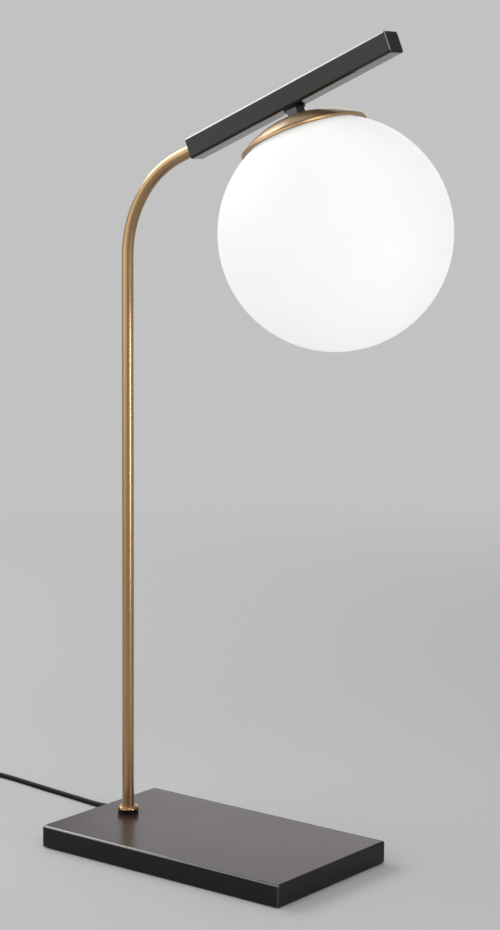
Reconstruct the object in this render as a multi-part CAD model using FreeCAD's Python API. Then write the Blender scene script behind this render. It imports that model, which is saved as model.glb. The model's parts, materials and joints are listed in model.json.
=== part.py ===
import FreeCAD, Part
import math
import os

from FreeCAD import Placement, Rotation, Vector

# Table lamp: flat rectangular base, slim bent stem, square arm and a round opal globe.
# Millimetres, +Z up. The origin is the middle of the base's underside, on the table.
# +X runs along the base towards the globe, and -Y is the front.

# Play between pieces, and the length by which every cut overruns
FIT_GAP = 0.05
SLIDE_GAP = 0.1
OVERRUN = 1.0

# Base plate and the pad that it stands on
BASE_LENGTH = 246.0
BASE_WIDTH = 145.0
BASE_HEIGHT = 19.0
BASE_CORNER = 1.5
BASE_EDGE = 1.2
PAD_THICKNESS = 1.5
PAD_INSET = 2.0
PAD_CORNER = 3.0
PAD_WINDOW_MARGIN = 1.0
STEM_SETBACK = 32.0

# Wiring pocket in the underside of the base, measured from the left side and from the stem
POCKET_WALL = 8.0
POCKET_LENGTH = 49.0
POCKET_ROOF = 4.5
POCKET_FRONT = 20.0
POCKET_BACK = 48.0
POCKET_CORNER = 4.0

# Cover over the pocket and its four countersunk screws
COVER_THICKNESS = 1.2
COVER_SIDE_LAP = 3.0
COVER_END_LAP = 8.0
COVER_PLAY = 0.3
COVER_CORNER = 3.0
COVER_SCREW_SPACING = 36.0
SMALL_SCREW_RADIUS = 1.5
SMALL_SCREW_LENGTH = 8.0

# Mains lead: its size, and where it leaves the base
CORD_RADIUS = 2.2
CORD_EXIT_BACK = 39.5
CORD_EXIT_HEIGHT = 6.0

# Clamp that holds the lead in the base
CLAMP_SETBACK = 5.0
CLAMP_LENGTH = 10.0
CLAMP_WIDTH = 16.0
CLAMP_SPLIT = 1.2
CLAMP_BAR_THICKNESS = 2.6
CLAMP_SCREW_SPACING = 10.4
CLAMP_TAIL = 2.0

# Strain relief of the lead
RELIEF_FLANGE_RADIUS = 4.3
RELIEF_FLANGE_THICKNESS = 2.5
RELIEF_NECK_RADIUS = 3.0
RELIEF_COLLAR_RADIUS = 3.6
RELIEF_COLLAR_LENGTH = 1.5
RELIEF_TIP_RADIUS = 3.0

# Stem: a tube that rises, bends and enters the arm
STEM_RADIUS = 5.0
STEM_WALL = 1.0
STEM_STRAIGHT_HEIGHT = 489.0
STEM_BEND_RADIUS = 88.0
STEM_BEND_ANGLE = 67.0
STEM_REACH = 18.0
STEM_TAIL = 0.3

# Nuts and washers on the stem and on the threaded nipple
PIPE_NUT_ACROSS = 14.0
PIPE_NUT_HEIGHT = 3.0
LOCK_WASHER_RADIUS = 6.4
LOCK_WASHER_THICKNESS = 0.8

# Bush that keeps the wires off the stem's cut end
BUSH_SLEEVE_LENGTH = 4.0
BUSH_FLANGE_RADIUS = 6.0
BUSH_FLANGE_THICKNESS = 0.8
BUSH_BORE_RADIUS = 3.0

# Foot of the stem: a black washer under a brass bead
FOOT_WASHER_RADIUS = 8.75
FOOT_WASHER_THICKNESS = 2.0
BEAD_BASE_RADIUS = 7.6
BEAD_RADIUS = 9.0
BEAD_NECK_RADIUS = 5.6
BEAD_BELLY_HEIGHT = 2.0
BEAD_HEIGHT = 4.6

# Square arm, its socket for the stem and its end cap
ARM_SIDE = 17.5
ARM_WALL = 1.5
ARM_LENGTH = 206.0
ARM_CORNER = 2.3
ARM_INNER_CORNER = 0.8
SOCKET_LENGTH = 26.0
SOCKET_DEPTH = 22.0
SOCKET_WIRE_RADIUS = 3.5
GRUB_RADIUS = 2.0
GRUB_FIRST = 8.0
GRUB_SPACING = 10.0
GRUB_RECESS = 0.55
END_CAP_THICKNESS = 1.5
END_CAP_EDGE = 0.6
SPIGOT_LENGTH = 8.0
SPIGOT_WALL = 2.0

# Threaded nipple that carries the fixture, half way along the arm
FIXTURE_ALONG_ARM = 103.0
NIPPLE_RADIUS = 5.0
NIPPLE_WALL = 1.5
NIPPLE_SPARE = 0.7
NIPPLE_GRIP = 7.0

# Washer and hexagonal coupler between the arm and the canopy
ARM_WASHER_RADIUS = 8.7
ARM_WASHER_THICKNESS = 1.2
COUPLER_ACROSS = 14.0
COUPLER_HEIGHT = 6.8
COUPLER_CHAMFER = 0.5
COUPLER_TURN = 9.0

# Canopy: a spun dome with a beaded rim
CANOPY_WALL = 0.8
CANOPY_DEPTH = 17.25
CANOPY_FLAT_RADIUS = 9.0
CANOPY_MID_RADIUS = 33.0
CANOPY_MID_DROP = 5.85
CANOPY_SHOULDER_RADIUS = 49.4
RIM_RADIUS = 50.5
RIM_HEIGHT = 2.4
RIM_EDGE = 0.6
RIM_GROOVE = 0.4
RIM_LIP_WIDTH = 1.5
CANOPY_NUT_HEIGHT = 3.5

# Opal globe and the gap between its glass and the rim of the canopy
GLOBE_RADIUS = 90.0
GLOBE_WALL = 3.0
MOUTH_RADIUS = 40.0
RIM_GLASS_GAP = 0.67

# Twist lock: a carrier with three legs, and the collar that is bonded into the globe
CARRIER_BOSS_RADIUS = 9.0
CARRIER_BOSS_HEIGHT = 3.45
CARRIER_PLATE_THICKNESS = 1.5
CARRIER_RADIUS = 32.3
CARRIER_LEG_THICKNESS = 1.5
TAB_REACH = 4.0
TAB_THICKNESS = 1.2
TAB_COUNT = 3
TAB_ARC = 24.0
NOTCH_ARC = 30.0
TWIST_ANGLE = 45.0
TWIST_GAP = 0.3
TWIST_PLAY = 0.5
GLASS_GAP = 0.28
COLLAR_FLANGE_THICKNESS = 1.2
COLLAR_FLANGE_LAP = 1.5
COLLAR_WALL = 1.5
COLLAR_DEPTH = 6.9
SEAL_THICKNESS = 0.8
SEAL_HEIGHT = 3.1

# Lampholder
HOLDER_RADIUS = 20.0
HOLDER_WALL = 1.5
HOLDER_NECK_RADIUS = 8.0
HOLDER_NECK_HEIGHT = 4.0
HOLDER_BORE_DEPTH = 6.0
HOLDER_FLARE_HEIGHT = 5.0
HOLDER_CAP_HEIGHT = 17.0
HOLDER_CAVITY_RADIUS = 7.0
HOLDER_BODY_LENGTH = 36.0
LEDGE_DEPTH = 6.0
LEDGE_WIDTH = 2.0
LEDGE_THICKNESS = 1.5
INSERT_THICKNESS = 5.5
TERMINAL_OFFSET = 9.0
TERMINAL_LENGTH = 6.0
TERMINAL_WIDTH = 5.0
TERMINAL_HEIGHT = 4.5
TERMINAL_SCREW_RADIUS = 1.2
TERMINAL_HEAD_RADIUS = 2.0
TERMINAL_HEAD_HEIGHT = 1.0
THREAD_SHELL_RADIUS = 13.3
THREAD_SHELL_WALL = 0.6
THREAD_SHELL_LENGTH = 26.0
CENTRE_CONTACT_RADIUS = 3.0
CENTRE_CONTACT_HEIGHT = 2.0

# Bulb
BULB_CONTACT_RADIUS = 4.5
BULB_CONTACT_HEIGHT = 1.0
BULB_CAP_RADIUS = 13.1
BULB_CAP_LENGTH = 26.0
BULB_CAP_SLOPE = 3.0
BULB_CAP_WALL = 0.5
BULB_NECK_LENGTH = 24.0
BULB_SHOULDER_RADIUS = 29.0
BULB_RADIUS = 30.0
BULB_DOME_LENGTH = 58.0
BULB_WALL = 1.2

# Two insulated wires from the lead to the lampholder
WIRE_RADIUS = 1.0
WIRE_SPACING = 2.2
WIRE_WALL_DISTANCE = 4.0
WIRE_LOOP_RADIUS = 10.0
WIRE_RISE_RADIUS = 5.0
WIRE_DROP_RADIUS = 7.0
WIRE_SPLAY_RADIUS = 2.5
WIRE_SPLAY_START = 1.0
WIRE_SPLAY_DROP = 2.4
WIRE_GRIP = 2.0

# Routes of the lead on the table. An arc takes this share of the shorter run beside it.
# The lead and what is on it are placed from the middle of the base's left side.
RUN_SHARE = 0.45
LEAD_ROUTE = [
    (11.0, CORD_EXIT_BACK, CORD_EXIT_HEIGHT),
    (-11.0, CORD_EXIT_BACK, CORD_EXIT_HEIGHT),
    (-35.0, 42.6, 2.2),
    (-67.0, 46.4, 2.2),
    (-115.0, 51.6, 2.2),
    (-169.0, 58.3, 2.2),
    (-223.0, 57.4, 2.2),
    (-249.0, 34.0, 2.2),
    (-252.5, 3.0, 2.2),
    (-235.0, -18.0, 6.0),
    (-209.0, -18.0, 6.0),
]
LINK_ROUTE = [
    (-157.0, -18.0, 6.0),
    (-133.0, -18.0, 6.0),
    (-116.5, -36.0, 3.4),
    (-118.4, -58.0, 3.2),
]
TAIL_ROUTE = [
    (-151.0, -94.5, 7.6),
    (-172.0, -96.0, 6.85),
    (-193.0, -96.0, 6.85),
]

# Put-away coil of the lead, and the tie round it
COIL_PLACE = (-147.0, -66.0)
COIL_RADIUS = 24.2
COIL_ROWS = 3
COIL_LIFT = 1.0
COIL_EDGE = 2.0
TIE_WIDTH = 6.5
TIE_THICKNESS = 0.8
TIE_ANGLE = 150.0

# Rocker switch in the lead
SWITCH_PLACE = (-183.0, -18.0)
SWITCH_LENGTH = 66.0
SWITCH_WIDTH = 25.0
SWITCH_HEIGHT = 17.0
SWITCH_WALL = 2.0
SWITCH_CORNER = 6.0
SWITCH_EDGE = 1.6
SWITCH_CORD_HEIGHT = 6.0
ROCKER_LENGTH = 22.4
ROCKER_WIDTH = 10.0
ROCKER_SIDE_GAP = 0.4
ROCKER_END_GAP = 1.0
ROCKER_TILT = 10.0
ROCKER_PIVOT_DEPTH = 2.5
ROCKER_CROWN = 2.6
ROCKER_BELLY = 2.5
ROCKER_STUB_RADIUS = 1.2
ROCKER_STUB_LENGTH = 1.9
LUG_WIDTH = 6.0
LUG_THICKNESS = 2.0
LUG_WALL = 1.2
SADDLE_LENGTH = 5.0
SADDLE_WIDTH = 12.0
SADDLE_GAP = 0.5
CONTACT_WIDTH = 6.0
CONTACT_THICKNESS = 1.0
CONTACT_LENGTH = 11.0
CONTACT_PLACE = 9.5
CONTACT_HEIGHT = 7.4
SWITCH_SCREW_RADIUS = 1.3
SWITCH_SCREW_LENGTH = 11.2
SWITCH_HEAD_RADIUS = 2.4
SWITCH_HEAD_HEIGHT = 1.5
SWITCH_HEAD_RECESS = 0.3
SWITCH_BOSS_WALL = 1.8
SWITCH_SCREW_PLACES = ((-17.0, 8.0), (17.0, -8.0))

# Flat two-pin plug
PLUG_PLACE = (-189.0, -96.0)
PLUG_LENGTH = 36.0
PLUG_WIDTH = 35.3
PLUG_REAR_WIDTH = 13.7
PLUG_THICKNESS = 13.7
PLUG_FACE_LENGTH = 12.0
PLUG_EDGE = 2.0
PLUG_CORD_DEPTH = 8.0
PIN_SPACING = 18.6
PIN_RADIUS = 2.0
PIN_CORE_RADIUS = 1.5
PIN_LENGTH = 19.0
PIN_ROOT = 8.0
PIN_TIP = 0.8
SLEEVE_LENGTH = 10.0

# Places that follow from the sizes above
STEM_X = STEM_SETBACK - BASE_LENGTH / 2
POCKET_LEFT = POCKET_WALL - BASE_LENGTH / 2
POCKET_RIGHT = POCKET_LEFT + POCKET_LENGTH
POCKET_CEILING = BASE_HEIGHT - POCKET_ROOF
COVER_TOP = PAD_THICKNESS + COVER_THICKNESS
CLAMP_LEFT = POCKET_LEFT + CLAMP_SETBACK
CLAMP_RIGHT = CLAMP_LEFT + CLAMP_LENGTH
STEM_NUT_TOP = POCKET_CEILING - LOCK_WASHER_THICKNESS
STEM_BOTTOM = STEM_NUT_TOP - PIPE_NUT_HEIGHT - STEM_TAIL
BEND = math.radians(STEM_BEND_ANGLE)
ARM_RISE = 90.0 - STEM_BEND_ANGLE
ARM_DIRECTION = Vector(math.sin(BEND), 0, math.cos(BEND))
BEND_CORNER = Vector(STEM_X, 0, STEM_STRAIGHT_HEIGHT + STEM_BEND_RADIUS * math.tan(BEND / 2))
ARM_START = BEND_CORNER + ARM_DIRECTION * (STEM_BEND_RADIUS * math.tan(BEND / 2) + STEM_REACH)
FIXTURE_ORIGIN = ARM_START + ARM_DIRECTION * FIXTURE_ALONG_ARM
ARM_TURN = Rotation(Vector(0, 1, 0), -ARM_RISE)

# Drops below the arm's axis, down the fixture's own axis
ARM_FLOOR_DROP = ARM_SIDE / 2 - ARM_WALL
NIPPLE_NUT_BOTTOM_DROP = ARM_FLOOR_DROP - LOCK_WASHER_THICKNESS
NIPPLE_TOP_DROP = NIPPLE_NUT_BOTTOM_DROP - PIPE_NUT_HEIGHT - NIPPLE_SPARE
COUPLER_TOP_DROP = ARM_SIDE / 2 + ARM_WASHER_THICKNESS
CANOPY_TOP_DROP = COUPLER_TOP_DROP + COUPLER_HEIGHT
RIM_TOP_DROP = CANOPY_TOP_DROP + CANOPY_DEPTH - RIM_HEIGHT / 2
RIM_BOTTOM_DROP = RIM_TOP_DROP + RIM_HEIGHT
RIM_LIP_RADIUS = RIM_RADIUS - CANOPY_WALL - RIM_LIP_WIDTH
GLOBE_DROP = RIM_BOTTOM_DROP + math.sqrt((GLOBE_RADIUS + RIM_GLASS_GAP) ** 2 - RIM_LIP_RADIUS ** 2)
MOUTH_DROP = GLOBE_DROP - math.sqrt(GLOBE_RADIUS ** 2 - MOUTH_RADIUS ** 2)
CANOPY_NUT_DROP = CANOPY_TOP_DROP + CANOPY_WALL
CARRIER_TOP_DROP = CANOPY_NUT_DROP + CANOPY_NUT_HEIGHT
CARRIER_PLATE_DROP = CARRIER_TOP_DROP + CARRIER_BOSS_HEIGHT
CARRIER_NUT_DROP = CARRIER_PLATE_DROP + CARRIER_PLATE_THICKNESS
FLANGE_BOTTOM_DROP = MOUTH_DROP - GLASS_GAP
TAB_TOP_DROP = FLANGE_BOTTOM_DROP + TWIST_GAP
TAB_RADIUS = CARRIER_RADIUS + TAB_REACH
HOLDER_CAP_DROP = CARRIER_NUT_DROP + PIPE_NUT_HEIGHT
NIPPLE_BOTTOM_DROP = HOLDER_CAP_DROP + NIPPLE_GRIP
HOLDER_BODY_DROP = HOLDER_CAP_DROP + HOLDER_CAP_HEIGHT
INSERT_BOTTOM_DROP = HOLDER_BODY_DROP + LEDGE_DEPTH
INSERT_TOP_DROP = INSERT_BOTTOM_DROP - INSERT_THICKNESS
TERMINAL_TOP_DROP = INSERT_TOP_DROP - TERMINAL_HEIGHT
BULB_CONTACT_DROP = INSERT_BOTTOM_DROP + CENTRE_CONTACT_HEIGHT
BULB_CAP_DROP = BULB_CONTACT_DROP + BULB_CONTACT_HEIGHT
BULB_NECK_DROP = BULB_CAP_DROP + BULB_CAP_LENGTH
BULB_DOME_DROP = BULB_NECK_DROP + BULB_NECK_LENGTH

# Heights in the switch
SWITCH_SPLIT = SWITCH_HEIGHT / 2
ROCKER_HEIGHT = SWITCH_HEIGHT - ROCKER_PIVOT_DEPTH


def save(name, shape):
    """Write one sub-part to its own file."""
    if not shape.isValid():
        raise ValueError(name + " is not a valid shape")
    shape.exportStep("parts/" + name + ".step")


def group(solids):
    """Like pieces that share one node, as separate solids."""
    return Part.makeCompound(solids)


def block(x_range, y_range, z_range):
    """Box between two places on each axis."""
    size = [high - low for low, high in (x_range, y_range, z_range)]
    return Part.makeBox(*size, Vector(x_range[0], y_range[0], z_range[0]))


def around(centre, width):
    """Range of a width about its middle."""
    return (centre - width / 2, centre + width / 2)


def upright(radius, bottom, top, x=0, y=0):
    """Upright cylinder between two heights."""
    return Part.makeCylinder(radius, top - bottom, Vector(x, y, bottom))


def upright_hole(radius, bottom, top, x=0, y=0):
    """Cutter for a hole, longer than the hole at both ends."""
    return upright(radius, bottom - OVERRUN, top + OVERRUN, x, y)


def level(radius, start, end):
    """Cylinder between two points."""
    start = Vector(*start)
    along = Vector(*end) - start
    return Part.makeCylinder(radius, along.Length, start, along)


def edges_along(shape, direction):
    """Straight edges of a shape that are parallel to a direction."""
    found = []
    for edge in shape.Edges:
        if edge.Curve.TypeId != "Part::GeomLine":
            continue
        turn = edge.tangentAt(edge.FirstParameter).cross(direction)
        if is_near(turn.Length, 0):
            found.append(edge)
    return found


def is_near(value, place):
    """Whether a place on a shape is the wanted one, apart from rounding."""
    return math.isclose(value, place, rel_tol=1e-6, abs_tol=1e-6)


def edges_at_height(shape, height):
    """Edges that lie wholly at one height."""
    found = []
    for edge in shape.Edges:
        bounds = edge.BoundBox
        if is_near(bounds.ZMin, height) and is_near(bounds.ZMax, height):
            found.append(edge)
    return found


def rounded_block(x_range, y_range, z_range, corner, direction=Vector(0, 0, 1)):
    """Box with its edges along one direction rounded."""
    body = block(x_range, y_range, z_range)
    return body.makeFillet(corner, edges_along(body, direction))


def profile_face(points):
    """Flat face of straight edges through (radius, height) points, in the XZ plane."""
    corners = [Vector(radius, 0, height) for radius, height in points]
    return Part.Face(Part.makePolygon(corners + corners[:1]))


def turned(points, sweep=360):
    """Solid of revolution about the Z axis from (radius, drop) points, drops counted down."""
    face = profile_face([(radius, -drop) for radius, drop in points])
    return face.revolve(Vector(0, 0, 0), Vector(0, 0, 1), sweep)


def turned_edges(edges):
    """Solid of revolution about the Z axis from a closed loop of edges."""
    face = Part.Face(Part.Wire(edges))
    return face.revolve(Vector(0, 0, 0), Vector(0, 0, 1), 360)


def ring(outer, inner, top_drop, bottom_drop):
    """Ring about the fixture's axis between two drops."""
    return turned([(inner, top_drop), (outer, top_drop), (outer, bottom_drop), (inner, bottom_drop)])


def sector(outer, inner, top_drop, bottom_drop, middle_angle, sweep):
    """Part of a ring, centred on an angle."""
    corners = [(inner, top_drop), (outer, top_drop), (outer, bottom_drop), (inner, bottom_drop)]
    body = turned(corners, sweep)
    body.rotate(Vector(0, 0, 0), Vector(0, 0, 1), middle_angle - sweep / 2)
    return body


def hexagon(across, bottom, top, turn=0):
    """Upright hexagonal bar about the Z axis, with flats facing +Y and -Y."""
    corner_radius = across / 2 / math.cos(math.radians(30))
    corners = []
    for index in range(6):
        angle = math.radians(60 * index + turn)
        corners.append(Vector(corner_radius * math.cos(angle), corner_radius * math.sin(angle), bottom))
    face = Part.Face(Part.makePolygon(corners + corners[:1]))
    return face.extrude(Vector(0, 0, top - bottom))


def pipe_nut(top_drop, height=PIPE_NUT_HEIGHT):
    """Hexagonal nut on the nipple, below a drop."""
    nut = hexagon(PIPE_NUT_ACROSS, -top_drop - height, -top_drop)
    return nut.cut(upright_hole(NIPPLE_RADIUS + FIT_GAP, -top_drop - height, -top_drop))


def on_arm(shape, origin=ARM_START):
    """Move a shape from the arm's own axes to its place: X along the arm, Z square to it."""
    shape.Placement = Placement(origin, ARM_TURN).multiply(shape.Placement)
    return shape


def on_fixture(shape):
    """Move a shape from the fixture's own axes to its place below the arm."""
    return on_arm(shape, FIXTURE_ORIGIN)


def fixture_point(x, y, drop):
    """Point given in the fixture's own axes."""
    return FIXTURE_ORIGIN + ARM_TURN.multVec(Vector(x, y, -drop))


def rounded_route(points, radii=None):
    """Straight runs joined by tangent arcs, with the radius of each arc."""
    points = [Vector(*point) for point in points]
    edges = []
    used = []
    start = points[0]
    for index in range(1, len(points) - 1):
        corner = points[index]
        before = corner - points[index - 1]
        after = points[index + 1] - corner
        half_turn = before.getAngle(after) / 2
        if radii is None:
            radius = RUN_SHARE * min(before.Length, after.Length) / math.tan(half_turn)
        else:
            radius = radii[index - 1]
        reach = radius * math.tan(half_turn)
        before.normalize()
        after.normalize()
        inward = after - before
        inward.normalize()
        arc_start = corner - before * reach
        arc_end = corner + after * reach
        middle = corner + inward * (radius / math.cos(half_turn) - radius)
        edges.append(Part.LineSegment(start, arc_start).toShape())
        edges.append(Part.Arc(arc_start, middle, arc_end).toShape())
        used.append(radius)
        start = arc_end
    edges.append(Part.LineSegment(start, points[-1]).toShape())
    return Part.Wire(edges), used


def tube_along(route, radius):
    """Solid round bar along a route."""
    first = route.Edges[0]
    start = first.valueAt(first.FirstParameter)
    direction = first.tangentAt(first.FirstParameter)
    section = Part.Wire(Part.makeCircle(radius, start, direction))
    return route.makePipeShell([section], True, False)


def beside_base(point):
    """Point given from the middle of the base's left side."""
    return Vector(*point) - Vector(BASE_LENGTH / 2, 0, 0)


def lead_points(route):
    """Points of a route of the lead at their real places."""
    return [beside_base(point) for point in route]


def lead_tube(name, points):
    """Tube of the lead, with its radii and its volume printed beside section times length."""
    route, radii = rounded_route(lead_points(points))
    tube = tube_along(route, CORD_RADIUS)
    expected = math.pi * CORD_RADIUS ** 2 * route.Length
    print(name, "length", round(route.Length, 1), "volume share", round(tube.Volume / expected, 4))
    print(name, "arc radii", [round(radius, 1) for radius in radii])
    return tube


def cover_range(margin=0.0):
    """Sides and ends of the pocket's cover, with a margin all round."""
    x_range = (POCKET_LEFT - COVER_SIDE_LAP - margin, POCKET_RIGHT + COVER_SIDE_LAP + margin)
    y_range = (-POCKET_FRONT - COVER_END_LAP - margin, POCKET_BACK + COVER_END_LAP + margin)
    return x_range, y_range


def cover_screw_places():
    """Middles of the four cover screws."""
    middle = (POCKET_LEFT + POCKET_RIGHT) / 2
    places = []
    for y in (-POCKET_FRONT - COVER_END_LAP / 2, POCKET_BACK + COVER_END_LAP / 2):
        for x in around(middle, COVER_SCREW_SPACING):
            places.append((x, y))
    return places


def clamp_screw_places():
    """Middles of the two clamp screws."""
    x = (CLAMP_LEFT + CLAMP_RIGHT) / 2
    return [(x, y) for y in around(CORD_EXIT_BACK, CLAMP_SCREW_SPACING)]


def countersunk_screw(x, y, bottom, head_height):
    """Small screw that points up, its head's face at the bottom."""
    head_radius = SMALL_SCREW_RADIUS + head_height
    head = Part.makeCone(head_radius, SMALL_SCREW_RADIUS, head_height, Vector(x, y, bottom))
    slot_depth = head_height / 2
    slot = block(around(x, 2 * head_radius), around(y, slot_depth), (bottom - OVERRUN, bottom + slot_depth))
    shank = upright(SMALL_SCREW_RADIUS, bottom, bottom + SMALL_SCREW_LENGTH, x, y)
    return head.fuse(shank).cut(slot).removeSplitter()


def countersink(x, y, bottom, head_height):
    """Cutter for a small screw's head and shank through a plate."""
    head_radius = SMALL_SCREW_RADIUS + head_height + SLIDE_GAP
    cone = Part.makeCone(head_radius, SMALL_SCREW_RADIUS + SLIDE_GAP, head_height, Vector(x, y, bottom))
    return cone.fuse(upright_hole(SMALL_SCREW_RADIUS + SLIDE_GAP, bottom, bottom + SMALL_SCREW_LENGTH, x, y))


def clamp_groove():
    """Cutter for the lead's groove through the clamp."""
    start = (CLAMP_LEFT - OVERRUN, CORD_EXIT_BACK, CORD_EXIT_HEIGHT)
    end = (CLAMP_RIGHT + OVERRUN, CORD_EXIT_BACK, CORD_EXIT_HEIGHT)
    return level(CORD_RADIUS + FIT_GAP, start, end)


def make_base_plate():
    """Heavy plate with the wiring pocket in its underside."""
    x_range = around(0, BASE_LENGTH)
    y_range = around(0, BASE_WIDTH)
    plate = rounded_block(x_range, y_range, (PAD_THICKNESS, BASE_HEIGHT), BASE_CORNER)
    plate = plate.makeFillet(BASE_EDGE, edges_at_height(plate, BASE_HEIGHT))
    recess_x, recess_y = cover_range(COVER_PLAY)
    recess = rounded_block(recess_x, recess_y, (PAD_THICKNESS - OVERRUN, COVER_TOP), COVER_CORNER)
    pocket_x = (POCKET_LEFT, POCKET_RIGHT)
    pocket_y = (-POCKET_FRONT, POCKET_BACK)
    pocket = rounded_block(pocket_x, pocket_y, (PAD_THICKNESS - OVERRUN, POCKET_CEILING), POCKET_CORNER)
    land_bottom = CORD_EXIT_HEIGHT + CLAMP_SPLIT / 2
    land = block((CLAMP_LEFT, CLAMP_RIGHT), around(CORD_EXIT_BACK, CLAMP_WIDTH), (land_bottom, POCKET_CEILING))
    plate = plate.cut(recess).cut(pocket.cut(land))
    plate = plate.cut(clamp_groove())
    for x, y in clamp_screw_places():
        plate = plate.cut(upright(SMALL_SCREW_RADIUS + FIT_GAP, land_bottom - OVERRUN, POCKET_CEILING, x, y))
    for x, y in cover_screw_places():
        top = PAD_THICKNESS + SMALL_SCREW_LENGTH + SLIDE_GAP
        plate = plate.cut(upright(SMALL_SCREW_RADIUS + FIT_GAP, COVER_TOP - OVERRUN, top, x, y))
    plate = plate.cut(upright_hole(STEM_RADIUS + SLIDE_GAP, POCKET_CEILING, BASE_HEIGHT, STEM_X))
    wall_start = (-BASE_LENGTH / 2 - OVERRUN, CORD_EXIT_BACK, CORD_EXIT_HEIGHT)
    wall_end = (POCKET_LEFT + OVERRUN, CORD_EXIT_BACK, CORD_EXIT_HEIGHT)
    return plate.cut(level(RELIEF_NECK_RADIUS + SLIDE_GAP, wall_start, wall_end))


def make_base_pad():
    """Thin pad under the plate, with a window round the cover."""
    x_range = around(0, BASE_LENGTH - 2 * PAD_INSET)
    y_range = around(0, BASE_WIDTH - 2 * PAD_INSET)
    pad = rounded_block(x_range, y_range, (0, PAD_THICKNESS), PAD_CORNER)
    window_x, window_y = cover_range(PAD_WINDOW_MARGIN)
    return pad.cut(rounded_block(window_x, window_y, (-OVERRUN, PAD_THICKNESS + OVERRUN), COVER_CORNER))


def make_base_cover():
    """Sheet cover of the pocket."""
    x_range, y_range = cover_range()
    cover = rounded_block(x_range, y_range, (PAD_THICKNESS, COVER_TOP), COVER_CORNER)
    for x, y in cover_screw_places():
        cover = cover.cut(countersink(x, y, PAD_THICKNESS, COVER_THICKNESS))
    return cover


def make_cover_screws():
    """Four screws of the cover."""
    return group([countersunk_screw(x, y, PAD_THICKNESS, COVER_THICKNESS) for x, y in cover_screw_places()])


def clamp_bar_range():
    """Heights of the clamp's loose bar."""
    top = CORD_EXIT_HEIGHT - CLAMP_SPLIT / 2
    return (top - CLAMP_BAR_THICKNESS, top)


def make_cord_clamp():
    """Loose bar that presses the lead into its groove."""
    z_range = clamp_bar_range()
    bar = block((CLAMP_LEFT, CLAMP_RIGHT), around(CORD_EXIT_BACK, CLAMP_WIDTH), z_range)
    bar = bar.cut(clamp_groove())
    for x, y in clamp_screw_places():
        bar = bar.cut(countersink(x, y, z_range[0], COVER_THICKNESS))
    return bar


def make_clamp_screws():
    """Two screws of the lead's clamp."""
    bottom = clamp_bar_range()[0]
    return group([countersunk_screw(x, y, bottom, COVER_THICKNESS) for x, y in clamp_screw_places()])


def make_cord_inner_end():
    """End of the lead inside the base, through the clamp."""
    start = beside_base(LEAD_ROUTE[0])
    return level(CORD_RADIUS, start, (CLAMP_RIGHT + CLAMP_TAIL, CORD_EXIT_BACK, CORD_EXIT_HEIGHT))


def make_strain_relief():
    """Rubber sleeve: a flange inside the wall, a neck through it and a tail along the lead."""
    height = CORD_EXIT_HEIGHT
    back = CORD_EXIT_BACK
    wall_out = -BASE_LENGTH / 2
    flange_in = POCKET_LEFT + RELIEF_FLANGE_THICKNESS
    flange = level(RELIEF_FLANGE_RADIUS, (flange_in, back, height), (POCKET_LEFT, back, height))
    floor = COVER_TOP + SLIDE_GAP
    under_x = (POCKET_LEFT - OVERRUN, flange_in + OVERRUN)
    under = block(under_x, around(back, 2 * RELIEF_FLANGE_RADIUS), (height - 2 * RELIEF_FLANGE_RADIUS, floor))
    flange = flange.cut(under)
    neck = level(RELIEF_NECK_RADIUS, (flange_in, back, height), (wall_out, back, height))
    collar_end = (wall_out - RELIEF_COLLAR_LENGTH, back, height)
    collar = level(RELIEF_COLLAR_RADIUS, (wall_out, back, height), collar_end)
    points = lead_points(LEAD_ROUTE)
    radii = rounded_route(points)[1]
    tail_end = (points[1] + points[2]) / 2
    tail_route = rounded_route([(wall_out, back, height), points[1], tail_end], radii[:1])[0]
    tail = tube_along(tail_route, RELIEF_TIP_RADIUS)
    bore_route = rounded_route(points[:3], radii[:1])[0]
    relief = flange.fuse(neck).fuse(collar).fuse(tail).removeSplitter()
    start = level(CORD_RADIUS + FIT_GAP, (flange_in + OVERRUN, back, height), (wall_out, back, height))
    return relief.cut(start.fuse(tube_along(bore_route, CORD_RADIUS + FIT_GAP)))


def make_stem_lock_washer():
    """Washer between the base and the stem's nut."""
    washer = upright(LOCK_WASHER_RADIUS, STEM_NUT_TOP, POCKET_CEILING, STEM_X)
    return washer.cut(upright_hole(STEM_RADIUS + SLIDE_GAP, STEM_NUT_TOP, POCKET_CEILING, STEM_X))


def make_stem_nut():
    """Nut that pulls the stem down on the base."""
    bottom = STEM_NUT_TOP - PIPE_NUT_HEIGHT
    nut = hexagon(PIPE_NUT_ACROSS, bottom, STEM_NUT_TOP)
    nut.translate(Vector(STEM_X, 0, 0))
    return nut.cut(upright_hole(STEM_RADIUS + FIT_GAP, bottom, STEM_NUT_TOP, STEM_X))


def make_stem_end_bush():
    """Plastic bush in the stem's lower end."""
    sleeve_radius = STEM_RADIUS - STEM_WALL - SLIDE_GAP
    bottom = STEM_BOTTOM - BUSH_FLANGE_THICKNESS
    top = STEM_BOTTOM + BUSH_SLEEVE_LENGTH
    bush = upright(sleeve_radius, bottom, top, STEM_X)
    bush = bush.fuse(upright(BUSH_FLANGE_RADIUS, bottom, STEM_BOTTOM, STEM_X))
    return bush.cut(upright_hole(BUSH_BORE_RADIUS, bottom, top, STEM_X))


def make_stem_tube():
    """Stem tube from the pocket, round the bend and into the arm's socket."""
    end = ARM_START + ARM_DIRECTION * SOCKET_DEPTH
    route = rounded_route([(STEM_X, 0, STEM_BOTTOM), BEND_CORNER, end], [STEM_BEND_RADIUS])[0]
    return tube_along(route, STEM_RADIUS).cut(tube_along(route, STEM_RADIUS - STEM_WALL))


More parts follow.
